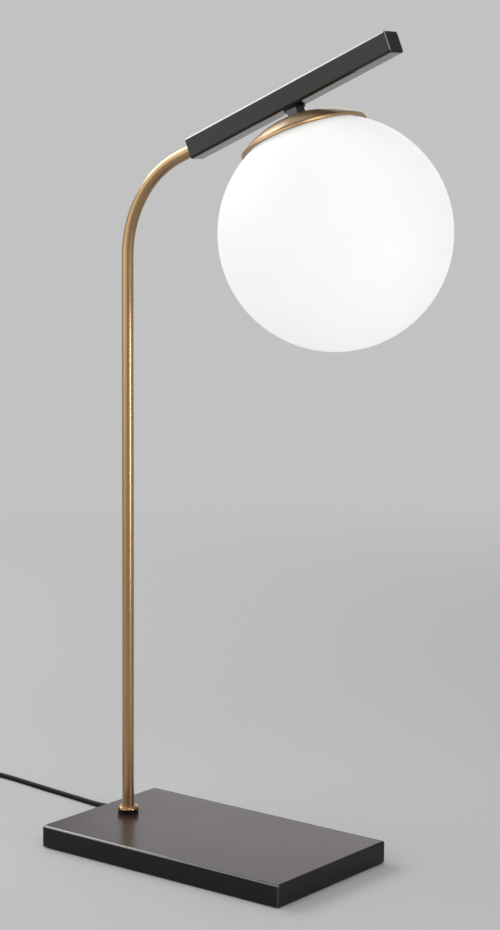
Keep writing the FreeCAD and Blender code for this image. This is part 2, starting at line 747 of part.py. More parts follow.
def make_foot_washer():
    """Black washer between the base and the bead."""
    top = BASE_HEIGHT + FOOT_WASHER_THICKNESS
    washer = upright(FOOT_WASHER_RADIUS, BASE_HEIGHT, top, STEM_X)
    return washer.cut(upright_hole(STEM_RADIUS + SLIDE_GAP, BASE_HEIGHT, top, STEM_X))


def make_stem_collar():
    """Turned brass bead round the foot of the stem."""
    bottom = BASE_HEIGHT + FOOT_WASHER_THICKNESS
    bore = STEM_RADIUS + FIT_GAP
    inner_low = Vector(bore, 0, bottom)
    outer_low = Vector(BEAD_BASE_RADIUS, 0, bottom)
    belly = Vector(BEAD_RADIUS, 0, bottom + BEAD_BELLY_HEIGHT)
    neck = Vector(BEAD_NECK_RADIUS, 0, bottom + BEAD_HEIGHT)
    inner_high = Vector(bore, 0, bottom + BEAD_HEIGHT)
    edges = [
        Part.LineSegment(inner_low, outer_low).toShape(),
        Part.Arc(outer_low, belly, neck).toShape(),
        Part.LineSegment(neck, inner_high).toShape(),
        Part.LineSegment(inner_high, inner_low).toShape(),
    ]
    collar = turned_edges(edges)
    collar.translate(Vector(STEM_X, 0, 0))
    return collar


def arm_bar(x_range, side, corner):
    """Square bar along the arm, with rounded long edges."""
    half = around(0, side)
    return rounded_block(x_range, half, half, corner, Vector(1, 0, 0))


def grub_hole(x):
    """Cutter for one grub screw in the arm's back wall."""
    return level(GRUB_RADIUS + FIT_GAP, (x, 0, 0), (x, ARM_SIDE / 2 + OVERRUN, 0))


def grub_places():
    """Places of the two grub screws along the arm."""
    return (GRUB_FIRST, GRUB_FIRST + GRUB_SPACING)


def make_arm_tube():
    """Square tube of the arm."""
    length = ARM_LENGTH - END_CAP_THICKNESS
    tube = arm_bar((0, length), ARM_SIDE, ARM_CORNER)
    tube = tube.cut(arm_bar((-OVERRUN, length + OVERRUN), ARM_SIDE - 2 * ARM_WALL, ARM_INNER_CORNER))
    tube = tube.cut(upright(NIPPLE_RADIUS + SLIDE_GAP, -ARM_SIDE, 0, FIXTURE_ALONG_ARM))
    for x in grub_places():
        tube = tube.cut(grub_hole(x))
    return on_arm(tube)


def make_arm_socket():
    """Block in the arm's end that takes the stem."""
    side = ARM_SIDE - 2 * ARM_WALL - 2 * SLIDE_GAP
    socket = arm_bar((0, SOCKET_LENGTH), side, ARM_INNER_CORNER)
    socket = socket.cut(level(STEM_RADIUS + FIT_GAP, (-OVERRUN, 0, 0), (SOCKET_DEPTH, 0, 0)))
    socket = socket.cut(level(SOCKET_WIRE_RADIUS, (0, 0, 0), (SOCKET_LENGTH + OVERRUN, 0, 0)))
    for x in grub_places():
        socket = socket.cut(grub_hole(x))
    return on_arm(socket)


def make_grub_screws():
    """Two grub screws that lock the stem in the arm."""
    inner = STEM_RADIUS + FIT_GAP
    outer = ARM_SIDE / 2 - GRUB_RECESS
    screws = [level(GRUB_RADIUS, (x, inner, 0), (x, outer, 0)) for x in grub_places()]
    return on_arm(group(screws))


def make_arm_end_cap():
    """Plate that closes the arm, with a hollow spigot inside it."""
    start = ARM_LENGTH - END_CAP_THICKNESS
    plate = arm_bar((start, ARM_LENGTH), ARM_SIDE, ARM_CORNER)
    outer_edges = []
    for edge in plate.Edges:
        bounds = edge.BoundBox
        if is_near(bounds.XMin, ARM_LENGTH) and is_near(bounds.XMax, ARM_LENGTH):
            outer_edges.append(edge)
    plate = plate.makeFillet(END_CAP_EDGE, outer_edges)
    side = ARM_SIDE - 2 * ARM_WALL - 2 * SLIDE_GAP
    spigot = arm_bar((start - SPIGOT_LENGTH, start), side, ARM_INNER_CORNER)
    hollow_side = side - 2 * SPIGOT_WALL
    hollow = around(0, hollow_side)
    spigot = spigot.cut(block((start - SPIGOT_LENGTH - OVERRUN, start), hollow, hollow))
    return on_arm(plate.fuse(spigot))


def make_arm_nipple():
    """Threaded nipple from inside the arm down to the lampholder."""
    return on_fixture(ring(NIPPLE_RADIUS, NIPPLE_RADIUS - NIPPLE_WALL, NIPPLE_TOP_DROP, NIPPLE_BOTTOM_DROP))


def make_nipple_lock_washer():
    """Washer on the arm's inner floor."""
    bore = NIPPLE_RADIUS + SLIDE_GAP
    return on_fixture(ring(LOCK_WASHER_RADIUS, bore, NIPPLE_NUT_BOTTOM_DROP, ARM_FLOOR_DROP))


def make_nipple_nut():
    """Nut in the arm that holds the nipple up."""
    return on_fixture(pipe_nut(NIPPLE_NUT_BOTTOM_DROP - PIPE_NUT_HEIGHT))


def make_arm_washer():
    """Dark washer against the arm's underside."""
    bore = NIPPLE_RADIUS + SLIDE_GAP
    return on_fixture(ring(ARM_WASHER_RADIUS, bore, ARM_SIDE / 2, COUPLER_TOP_DROP))


def make_hex_coupler():
    """Hexagonal spacer with chamfered ends."""
    coupler = hexagon(COUPLER_ACROSS, -CANOPY_TOP_DROP, -COUPLER_TOP_DROP, COUPLER_TURN)
    corner_radius = COUPLER_ACROSS / 2 / math.cos(math.radians(30))
    outline = [
        (0, COUPLER_TOP_DROP),
        (corner_radius - COUPLER_CHAMFER, COUPLER_TOP_DROP),
        (corner_radius, COUPLER_TOP_DROP + COUPLER_CHAMFER),
        (corner_radius, CANOPY_TOP_DROP - COUPLER_CHAMFER),
        (corner_radius - COUPLER_CHAMFER, CANOPY_TOP_DROP),
        (0, CANOPY_TOP_DROP),
    ]
    coupler = coupler.common(turned(outline))
    return on_fixture(coupler.cut(upright_hole(NIPPLE_RADIUS + FIT_GAP, -CANOPY_TOP_DROP, -COUPLER_TOP_DROP)))


def drop_point(radius, drop):
    """Point of a turned outline."""
    return Vector(radius, 0, -drop)


def joined_lines(points):
    """Straight edges from each point to the next."""
    return [Part.LineSegment(first, second).toShape() for first, second in zip(points, points[1:])]


def make_canopy():
    """Spun dome with a groove and a rounded rim that turns in above the glass."""
    wall = CANOPY_WALL
    hole = NIPPLE_RADIUS + SLIDE_GAP
    groove_drop = RIM_TOP_DROP - RIM_GROOVE
    outer_top = drop_point(CANOPY_FLAT_RADIUS, CANOPY_TOP_DROP)
    outer_mid = drop_point(CANOPY_MID_RADIUS, CANOPY_TOP_DROP + CANOPY_MID_DROP)
    outer_low = drop_point(CANOPY_SHOULDER_RADIUS, groove_drop)
    inner_top = drop_point(CANOPY_FLAT_RADIUS, CANOPY_TOP_DROP + wall)
    inner_mid = drop_point(CANOPY_MID_RADIUS, CANOPY_TOP_DROP + CANOPY_MID_DROP + wall)
    inner_low = drop_point(CANOPY_SHOULDER_RADIUS - wall, groove_drop)
    edge = RIM_EDGE
    corner_share = 1 - math.sqrt(0.5)
    band = [
        (RIM_RADIUS - edge, RIM_TOP_DROP),
        (RIM_RADIUS - edge * corner_share, RIM_TOP_DROP + edge * corner_share),
        (RIM_RADIUS, RIM_TOP_DROP + edge),
        (RIM_RADIUS, RIM_BOTTOM_DROP - edge),
        (RIM_RADIUS - edge * corner_share, RIM_BOTTOM_DROP - edge * corner_share),
        (RIM_RADIUS - edge, RIM_BOTTOM_DROP),
    ]
    band = [drop_point(radius, drop) for radius, drop in band]
    inside = [
        (RIM_LIP_RADIUS, RIM_BOTTOM_DROP),
        (RIM_LIP_RADIUS, RIM_BOTTOM_DROP - wall),
        (RIM_RADIUS - wall, RIM_BOTTOM_DROP - wall),
        (RIM_RADIUS - wall, RIM_TOP_DROP + wall),
        (CANOPY_SHOULDER_RADIUS - wall, RIM_TOP_DROP + wall),
    ]
    inside = [drop_point(radius, drop) for radius, drop in inside]
    edges = joined_lines([drop_point(hole, CANOPY_TOP_DROP), outer_top])
    edges.append(Part.Arc(outer_top, outer_mid, outer_low).toShape())
    edges += joined_lines([outer_low, drop_point(CANOPY_SHOULDER_RADIUS, RIM_TOP_DROP), band[0]])
    edges.append(Part.Arc(band[0], band[1], band[2]).toShape())
    edges += joined_lines(band[2:4])
    edges.append(Part.Arc(band[3], band[4], band[5]).toShape())
    edges += joined_lines([band[5]] + inside + [inner_low])
    edges.append(Part.Arc(inner_low, inner_mid, inner_top).toShape())
    edges += joined_lines([inner_top, drop_point(hole, CANOPY_TOP_DROP + wall), drop_point(hole, CANOPY_TOP_DROP)])
    return on_fixture(turned_edges(edges))


def make_canopy_nut():
    """Nut that clamps the canopy to the coupler."""
    return on_fixture(pipe_nut(CANOPY_NUT_DROP, CANOPY_NUT_HEIGHT))


def tab_angles():
    """Directions of the carrier's legs."""
    return [90 + 360 / TAB_COUNT * index for index in range(TAB_COUNT)]


def make_globe_carrier():
    """Pressed plate with a boss and three legs whose tabs hold the globe's collar."""
    plate_bottom = CARRIER_PLATE_DROP + CARRIER_PLATE_THICKNESS
    tab_bottom = TAB_TOP_DROP + TAB_THICKNESS
    leg_inner = CARRIER_RADIUS - CARRIER_LEG_THICKNESS
    carrier = ring(CARRIER_RADIUS, NIPPLE_RADIUS + SLIDE_GAP, CARRIER_PLATE_DROP, plate_bottom)
    boss = ring(CARRIER_BOSS_RADIUS, NIPPLE_RADIUS + SLIDE_GAP, CARRIER_TOP_DROP, CARRIER_PLATE_DROP)
    carrier = carrier.fuse(boss)
    for angle in tab_angles():
        leg = sector(CARRIER_RADIUS, leg_inner, plate_bottom, tab_bottom, angle, TAB_ARC)
        tab = sector(TAB_RADIUS, leg_inner, TAB_TOP_DROP, tab_bottom, angle, TAB_ARC)
        carrier = carrier.fuse(leg.fuse(tab))
    return on_fixture(carrier.removeSplitter())


def make_carrier_nut():
    """Nut that clamps the carrier."""
    return on_fixture(pipe_nut(CARRIER_NUT_DROP))


def collar_outer():
    """Outer radius of the collar's wall, inside the seal."""
    return MOUTH_RADIUS - SEAL_THICKNESS - 2 * SLIDE_GAP


def make_globe_collar():
    """Ring in the globe's mouth, with three notches that pass the carrier's tabs."""
    flange_top = FLANGE_BOTTOM_DROP - COLLAR_FLANGE_THICKNESS
    flange_inner = CARRIER_RADIUS + TWIST_PLAY
    outer = collar_outer()
    collar = ring(MOUTH_RADIUS + COLLAR_FLANGE_LAP, flange_inner, flange_top, FLANGE_BOTTOM_DROP)
    wall_bottom = FLANGE_BOTTOM_DROP + COLLAR_DEPTH
    collar = collar.fuse(ring(outer, outer - COLLAR_WALL, FLANGE_BOTTOM_DROP, wall_bottom))
    for angle in tab_angles():
        middle = angle + TWIST_ANGLE
        low = FLANGE_BOTTOM_DROP + OVERRUN
        notch = sector(TAB_RADIUS + TWIST_PLAY, CARRIER_RADIUS, flange_top - OVERRUN, low, middle, NOTCH_ARC)
        collar = collar.cut(notch)
    return on_fixture(collar)


def make_globe_seal():
    """Silicone ring that bonds the collar into the glass."""
    inner = collar_outer() + SLIDE_GAP
    return on_fixture(ring(inner + SEAL_THICKNESS, inner, MOUTH_DROP, MOUTH_DROP + SEAL_HEIGHT))


def make_globe():
    """Hollow opal ball with a round mouth."""
    centre = Vector(0, 0, -GLOBE_DROP)
    ball = Part.makeSphere(GLOBE_RADIUS, centre).cut(Part.makeSphere(GLOBE_RADIUS - GLOBE_WALL, centre))
    return on_fixture(ball.cut(upright(MOUTH_RADIUS, -GLOBE_DROP, -GLOBE_DROP + GLOBE_RADIUS + OVERRUN)))


def make_holder_cap():
    """Upper shell of the lampholder, screwed on the nipple."""
    bore = NIPPLE_RADIUS + FIT_GAP
    top = HOLDER_CAP_DROP
    bottom = HOLDER_BODY_DROP
    flare = top + HOLDER_NECK_HEIGHT
    cavity = top + HOLDER_BORE_DEPTH
    inner = HOLDER_RADIUS - HOLDER_WALL
    return on_fixture(turned([
        (bore, top),
        (HOLDER_NECK_RADIUS, top),
        (HOLDER_NECK_RADIUS, flare),
        (HOLDER_RADIUS, flare + HOLDER_FLARE_HEIGHT),
        (HOLDER_RADIUS, bottom),
        (inner, bottom),
        (inner, cavity + HOLDER_FLARE_HEIGHT),
        (HOLDER_CAVITY_RADIUS, cavity),
        (bore, cavity),
    ]))


def make_holder_insert():
    """Ceramic disc on the lampholder's ledge."""
    return on_fixture(ring(HOLDER_RADIUS - HOLDER_WALL - SLIDE_GAP, 0, INSERT_TOP_DROP, INSERT_BOTTOM_DROP))


def terminal_hole(side):
    """Cutter for the wire's hole in a terminal."""
    y = side * TERMINAL_OFFSET
    hole_bottom = -TERMINAL_TOP_DROP - WIRE_GRIP - SLIDE_GAP
    return upright(WIRE_RADIUS + FIT_GAP, hole_bottom, -TERMINAL_TOP_DROP + OVERRUN, 0, y)


def terminal_screw(side, shank_radius, head_radius):
    """Terminal screw, from outside to beside the wire."""
    height = -TERMINAL_TOP_DROP - TERMINAL_HEIGHT / 2
    face = TERMINAL_OFFSET + TERMINAL_WIDTH / 2
    tip = TERMINAL_OFFSET + WIRE_RADIUS + FIT_GAP
    shank = level(shank_radius, (0, side * tip, height), (0, side * face, height))
    head_end = side * (face + TERMINAL_HEAD_HEIGHT)
    return shank.fuse(level(head_radius, (0, side * face, height), (0, head_end, height)))


def make_holder_terminals():
    """Two brass terminals on the insert."""
    blocks = []
    for side in (-1, 1):
        y_range = around(side * TERMINAL_OFFSET, TERMINAL_WIDTH)
        terminal = block(around(0, TERMINAL_LENGTH), y_range, (-INSERT_TOP_DROP, -TERMINAL_TOP_DROP))
        wider = TERMINAL_SCREW_RADIUS + FIT_GAP
        terminal = terminal.cut(terminal_hole(side)).cut(terminal_screw(side, wider, wider))
        blocks.append(terminal)
    return on_fixture(group(blocks))


def make_terminal_screws():
    """Screws of the two terminals."""
    screws = [terminal_screw(side, TERMINAL_SCREW_RADIUS, TERMINAL_HEAD_RADIUS) for side in (-1, 1)]
    return on_fixture(group(screws))


def make_holder_body():
    """Lower shell of the lampholder, with a ledge for the insert."""
    top = HOLDER_BODY_DROP
    bottom = top + HOLDER_BODY_LENGTH
    inner = HOLDER_RADIUS - HOLDER_WALL
    ledge_bottom = INSERT_BOTTOM_DROP + LEDGE_THICKNESS
    return on_fixture(turned([
        (inner, top),
        (HOLDER_RADIUS, top),
        (HOLDER_RADIUS, bottom),
        (inner, bottom),
        (inner, ledge_bottom),
        (inner - LEDGE_WIDTH, ledge_bottom),
        (inner - LEDGE_WIDTH, INSERT_BOTTOM_DROP),
        (inner, INSERT_BOTTOM_DROP),
    ]))


def make_thread_shell():
    """Thin threaded shell that takes the bulb."""
    outer = THREAD_SHELL_RADIUS + THREAD_SHELL_WALL
    bottom = INSERT_BOTTOM_DROP + THREAD_SHELL_LENGTH
    return on_fixture(ring(outer, THREAD_SHELL_RADIUS, INSERT_BOTTOM_DROP, bottom))


def make_centre_contact():
    """Contact in the middle of the lampholder."""
    return on_fixture(ring(CENTRE_CONTACT_RADIUS, 0, INSERT_BOTTOM_DROP, BULB_CONTACT_DROP))


def make_bulb_contact():
    """Contact at the bulb's end."""
    return on_fixture(ring(BULB_CONTACT_RADIUS, 0, BULB_CONTACT_DROP, BULB_CAP_DROP))


def make_bulb_cap():
    """Bulb's screw cap, as a thin shell with a sloped end."""
    slope_bottom = BULB_CAP_DROP + BULB_CAP_SLOPE
    inner = BULB_CAP_RADIUS - BULB_CAP_WALL
    return on_fixture(turned([
        (0, BULB_CAP_DROP),
        (BULB_CONTACT_RADIUS, BULB_CAP_DROP),
        (BULB_CAP_RADIUS, slope_bottom),
        (BULB_CAP_RADIUS, BULB_NECK_DROP),
        (inner, BULB_NECK_DROP),
        (inner, slope_bottom + BULB_CAP_WALL),
        (BULB_CONTACT_RADIUS, BULB_CAP_DROP + BULB_CAP_WALL),
        (0, BULB_CAP_DROP + BULB_CAP_WALL),
    ]))


def make_bulb_housing():
    """Bulb's plastic neck, which widens in a gentle curve."""
    share = 0.5
    sag = (BULB_SHOULDER_RADIUS - BULB_CAP_RADIUS) / 10
    mid_radius = BULB_CAP_RADIUS + share * (BULB_SHOULDER_RADIUS - BULB_CAP_RADIUS) - sag
    mid_drop = BULB_NECK_DROP + share * BULB_NECK_LENGTH
    outer = [
        drop_point(BULB_CAP_RADIUS, BULB_NECK_DROP),
        drop_point(mid_radius, mid_drop),
        drop_point(BULB_SHOULDER_RADIUS, BULB_DOME_DROP),
    ]
    inner = [point - Vector(BULB_WALL, 0, 0) for point in outer]
    edges = [Part.Arc(*outer).toShape()]
    edges += joined_lines([outer[2], inner[2]])
    edges.append(Part.Arc(inner[2], inner[1], inner[0]).toShape())
    edges += joined_lines([inner[0], outer[0]])
    return on_fixture(turned_edges(edges))


def dome_edges(inset):
    """Side and round end of the bulb's dome, and its two ends."""
    radius = BULB_RADIUS - inset
    belly_drop = BULB_DOME_DROP + BULB_DOME_LENGTH - BULB_RADIUS
    start = drop_point(BULB_SHOULDER_RADIUS - inset, BULB_DOME_DROP)
    belly = drop_point(radius, belly_drop)
    bend = radius * math.sqrt(0.5)
    middle = drop_point(bend, belly_drop + bend)
    end = drop_point(0, belly_drop + radius)
    edges = joined_lines([start, belly])
    edges.append(Part.Arc(belly, middle, end).toShape())
    return start, end, edges


def make_bulb_dome():
    """Bulb's light diffuser."""
    outer_start, outer_end, edges = dome_edges(0)
    inner_start, inner_end, inner_edges = dome_edges(BULB_WALL)
    edges += joined_lines([outer_end, inner_end])
    edges += inner_edges
    edges += joined_lines([inner_start, outer_start])
    return on_fixture(turned_edges(Part.__sortEdges__(edges)))


def make_wire(side):
    """One insulated wire: round the pocket, up the stem, along the arm and down the nipple."""
    offset = side * WIRE_SPACING / 2
    height = CORD_EXIT_HEIGHT
    right = POCKET_RIGHT - WIRE_WALL_DISTANCE + offset
    splay_drop = NIPPLE_BOTTOM_DROP + WIRE_SPLAY_START
    points = [
        (CLAMP_RIGHT + CLAMP_TAIL, CORD_EXIT_BACK + offset, height),
        (right, CORD_EXIT_BACK + offset, height),
        (right, -offset, height),
        (STEM_X, -offset, height),
        BEND_CORNER - Vector(0, offset, 0),
        fixture_point(0, -offset, 0),
        fixture_point(0, -offset, splay_drop),
        fixture_point(0, -side * TERMINAL_OFFSET, splay_drop + WIRE_SPLAY_DROP),
        fixture_point(0, -side * TERMINAL_OFFSET, TERMINAL_TOP_DROP + WIRE_GRIP),
    ]
    radii = [
        WIRE_LOOP_RADIUS,
        WIRE_LOOP_RADIUS,
        WIRE_RISE_RADIUS,
        STEM_BEND_RADIUS,
        WIRE_DROP_RADIUS,
        WIRE_SPLAY_RADIUS,
        WIRE_SPLAY_RADIUS,
    ]
    return tube_along(rounded_route(points, radii)[0], WIRE_RADIUS)


def coil_ring(play=0.0):
    """Rounded ring about the Z axis that holds all turns of the coil, with play all round."""
    half = COIL_ROWS * CORD_RADIUS + play
    middle = COIL_LIFT + COIL_ROWS * CORD_RADIUS
    coil = upright(COIL_RADIUS + half, middle - half, middle + half)
    coil = coil.cut(upright_hole(COIL_RADIUS - half, middle - half, middle + half))
    rims = [edge for edge in coil.Edges if edge.Curve.TypeId == "Part::GeomCircle"]
    return coil.makeFillet(COIL_EDGE, rims)


def on_coil(shape):
    """Move a shape from the coil's middle to its place on the table."""
    shape.translate(beside_base((*COIL_PLACE, 0)))
    return shape


def make_cord_coil():
    """Outer shape of the put-away coil of the lead."""
    return on_coil(coil_ring())


def make_coil_tie():
    """Band round one side of the coil."""
    outer = 2 * (COIL_ROWS * CORD_RADIUS + SLIDE_GAP + TIE_THICKNESS)
    middle = COIL_LIFT + COIL_ROWS * CORD_RADIUS
    across = Vector(0, 1, 0)
    x_range = around(COIL_RADIUS, outer)
    band = rounded_block(x_range, around(0, TIE_WIDTH), around(middle, outer), COIL_EDGE, across)
    band = band.cut(coil_ring(SLIDE_GAP))
    band.rotate(Vector(0, 0, 0), Vector(0, 0, 1), TIE_ANGLE)
    return on_coil(band)


def on_switch(shape):
    """Move a shape from the switch's middle to its place on the table."""
    shape.translate(beside_base((*SWITCH_PLACE, 0)))
    return shape


def switch_outline(inset, z_range):
    """Switch case's outline, set in by a wall."""
    x_range = around(0, SWITCH_LENGTH - 2 * inset)
    y_range = around(0, SWITCH_WIDTH - 2 * inset)
    return rounded_block(x_range, y_range, z_range, SWITCH_CORNER - inset)


def switch_cord_hole():
    """Cutter for the lead's way through the whole case."""
    half = SWITCH_LENGTH / 2 + OVERRUN
    start = (-half, 0, SWITCH_CORD_HEIGHT)
    return level(CORD_RADIUS + SLIDE_GAP, start, (half, 0, SWITCH_CORD_HEIGHT))


def make_switch_lower():
    """Lower half of the switch case."""
    case = switch_outline(0, (0, SWITCH_SPLIT))
    case = case.makeFillet(SWITCH_EDGE, edges_at_height(case, 0))
    case = case.cut(switch_outline(SWITCH_WALL, (SWITCH_WALL, SWITCH_SPLIT + OVERRUN)))
    head_top = SWITCH_HEAD_RECESS + SWITCH_HEAD_HEIGHT
    for x, y in SWITCH_SCREW_PLACES:
        boss_radius = SWITCH_HEAD_RADIUS + SLIDE_GAP + SWITCH_BOSS_WALL / 2
        case = case.fuse(upright(boss_radius, SWITCH_WALL, SWITCH_SPLIT, x, y))
        case = case.cut(upright_hole(SWITCH_SCREW_RADIUS + SLIDE_GAP, 0, SWITCH_SPLIT, x, y))
        case = case.cut(upright(SWITCH_HEAD_RADIUS + SLIDE_GAP, -OVERRUN, head_top, x, y))
    return on_switch(case.cut(switch_cord_hole()))


def make_switch_upper():
    """Upper half of the switch case, with the rocker's window and its two lugs."""
    case = switch_outline(0, (SWITCH_SPLIT, SWITCH_HEIGHT))
    case = case.makeFillet(SWITCH_EDGE, edges_at_height(case, SWITCH_HEIGHT))
    ceiling = SWITCH_HEIGHT - SWITCH_WALL
    case = case.cut(switch_outline(SWITCH_WALL, (SWITCH_SPLIT - OVERRUN, ceiling)))
    for x, y in SWITCH_SCREW_PLACES:
        boss = upright(SWITCH_SCREW_RADIUS + SWITCH_BOSS_WALL, SWITCH_SPLIT, ceiling, x, y)
        screw_top = SWITCH_HEAD_RECESS + SWITCH_HEAD_HEIGHT + SWITCH_SCREW_LENGTH + SLIDE_GAP
        hole = upright(SWITCH_SCREW_RADIUS + FIT_GAP, SWITCH_SPLIT - OVERRUN, screw_top, x, y)
        case = case.fuse(boss).cut(hole)
    lug_start = ROCKER_WIDTH / 2 + ROCKER_SIDE_GAP
    lug_bottom = ROCKER_HEIGHT - ROCKER_STUB_RADIUS - LUG_WALL
    for side in (-1, 1):
        y_range = sorted((side * lug_start, side * (lug_start + LUG_THICKNESS)))
        case = case.fuse(block(around(0, LUG_WIDTH), y_range, (lug_bottom, ceiling)))
    pivot_half = lug_start + LUG_THICKNESS + OVERRUN
    pivot = level(ROCKER_STUB_RADIUS + FIT_GAP, (0, -pivot_half, ROCKER_HEIGHT), (0, pivot_half, ROCKER_HEIGHT))
    window_x = around(0, ROCKER_LENGTH + 2 * ROCKER_END_GAP)
    window_y = around(0, 2 * lug_start)
    window = block(window_x, window_y, (SWITCH_SPLIT, SWITCH_HEIGHT + OVERRUN))
    return on_switch(case.cut(pivot).cut(window).cut(switch_cord_hole()))


def make_switch_rocker():
    """Rocker with a shallow V top, tilted to its on position."""
    half = ROCKER_LENGTH / 2
    rise = half * math.tan(math.radians(ROCKER_TILT))
    outline = [
        (-half, -ROCKER_BELLY),
        (half, -ROCKER_BELLY),
        (half, ROCKER_CROWN + rise),
        (0, ROCKER_CROWN),
        (-half, ROCKER_CROWN + rise),
    ]
    rocker = profile_face(outline).extrude(Vector(0, ROCKER_WIDTH, 0))
    rocker.translate(Vector(0, -ROCKER_WIDTH / 2, 0))
    stub_end = ROCKER_WIDTH / 2 + ROCKER_STUB_LENGTH
    rocker = rocker.fuse(level(ROCKER_STUB_RADIUS, (0, -stub_end, 0), (0, stub_end, 0)))
    rocker.rotate(Vector(0, 0, 0), Vector(0, 1, 0), ROCKER_TILT)
    rocker.translate(Vector(0, 0, ROCKER_HEIGHT))
    return on_switch(rocker)


def make_switch_contacts():
    """Two brass contact strips on the case's floor."""
    strips = []
    floor = SWITCH_WALL
    for side in (-1, 1):
        near = side * CONTACT_PLACE
        flat_x = sorted((near, side * (CONTACT_PLACE + CONTACT_LENGTH)))
        post_x = sorted((near, side * (CONTACT_PLACE + CONTACT_THICKNESS)))
        flat = block(flat_x, around(0, CONTACT_WIDTH), (floor, floor + CONTACT_THICKNESS))
        post = block(post_x, around(0, CONTACT_WIDTH), (floor, floor + CONTACT_HEIGHT))
        strips.append(flat.fuse(post).removeSplitter())
    return on_switch(group(strips))


def make_switch_saddles():
    """Two saddles that carry the lead inside the case."""
    saddles = []
    outer = SWITCH_LENGTH / 2 - SWITCH_WALL - SADDLE_GAP
    for side in (-1, 1):
        x_range = sorted((side * outer, side * (outer - SADDLE_LENGTH)))
        saddle = block(x_range, around(0, SADDLE_WIDTH), (SWITCH_WALL, SWITCH_CORD_HEIGHT))
        saddles.append(saddle.cut(switch_cord_hole()))
    return on_switch(group(saddles))


def make_switch_screws():
    """Two screws that close the case from below."""
    screws = []
    head_top = SWITCH_HEAD_RECESS + SWITCH_HEAD_HEIGHT
    for x, y in SWITCH_SCREW_PLACES:
        head = upright(SWITCH_HEAD_RADIUS, SWITCH_HEAD_RECESS, head_top, x, y)
        slot_depth = SWITCH_HEAD_HEIGHT / 2
        slot_z = (SWITCH_HEAD_RECESS - OVERRUN, SWITCH_HEAD_RECESS + slot_depth)
        head = head.cut(block(around(x, 2 * SWITCH_HEAD_RADIUS), around(y, slot_depth), slot_z))
        screws.append(head.fuse(upright(SWITCH_SCREW_RADIUS, head_top, head_top + SWITCH_SCREW_LENGTH, x, y)))
    return on_switch(group(screws))


def on_plug(shape):
    """Move a shape from the middle of the plug's rear to its place on the table."""
    shape.translate(beside_base((*PLUG_PLACE, 0)))
    return shape


def pin_sides():
    """Places of the two pins across the plug."""
    return around(0, PIN_SPACING)


def make_plug_body():
    """Flat plug body that narrows towards the lead."""
    face = -PLUG_LENGTH
    shoulder = face + PLUG_FACE_LENGTH
    half = PLUG_WIDTH / 2
    rear_half = PLUG_REAR_WIDTH / 2
    outline = [(face, -half), (shoulder, -half), (0, -rear_half), (0, rear_half), (shoulder, half), (face, half)]
    corners = [Vector(x, y, 0) for x, y in outline]
    body = Part.Face(Part.makePolygon(corners + corners[:1])).extrude(Vector(0, 0, PLUG_THICKNESS))
    body = body.makeFillet(PLUG_EDGE, edges_along(body, Vector(0, 0, 1)))
    rims = edges_at_height(body, 0) + edges_at_height(body, PLUG_THICKNESS)
    body = body.makeFillet(PLUG_EDGE / 2, rims)
    middle = PLUG_THICKNESS / 2
    body = body.cut(level(CORD_RADIUS + FIT_GAP, (-PLUG_CORD_DEPTH, 0, middle), (OVERRUN, 0, middle)))
    for y in pin_sides():
        body = body.cut(level(PIN_CORE_RADIUS + FIT_GAP, (face + PIN_ROOT, y, middle), (face - OVERRUN, y, middle)))
    return on_plug(body)


def make_plug_pins():
    """Two round pins, thinner under their sleeves."""
    pins = []
    face = -PLUG_LENGTH
    middle = PLUG_THICKNESS / 2
    for y in pin_sides():
        sleeve_end = face - SLEEVE_LENGTH
        pin = level(PIN_CORE_RADIUS, (face + PIN_ROOT, y, middle), (sleeve_end, y, middle))
        thick = level(PIN_RADIUS, (sleeve_end, y, middle), (face - PIN_LENGTH, y, middle))
        tips = [edge for edge in thick.Edges if is_near(edge.BoundBox.XMax, face - PIN_LENGTH)]
        pins.append(pin.fuse(thick.makeFillet(PIN_TIP, tips)))
    return on_plug(group(pins))


def make_plug_sleeves():
    """Insulating sleeves over the pins' roots."""
    sleeves = []
    face = -PLUG_LENGTH
    middle = PLUG_THICKNESS / 2
    for y in pin_sides():
        start = (face, y, middle)
        end = (face - SLEEVE_LENGTH, y, middle)
        sleeves.append(level(PIN_RADIUS, start, end).cut(level(PIN_CORE_RADIUS + FIT_GAP, start, end)))
    return on_plug(group(sleeves))


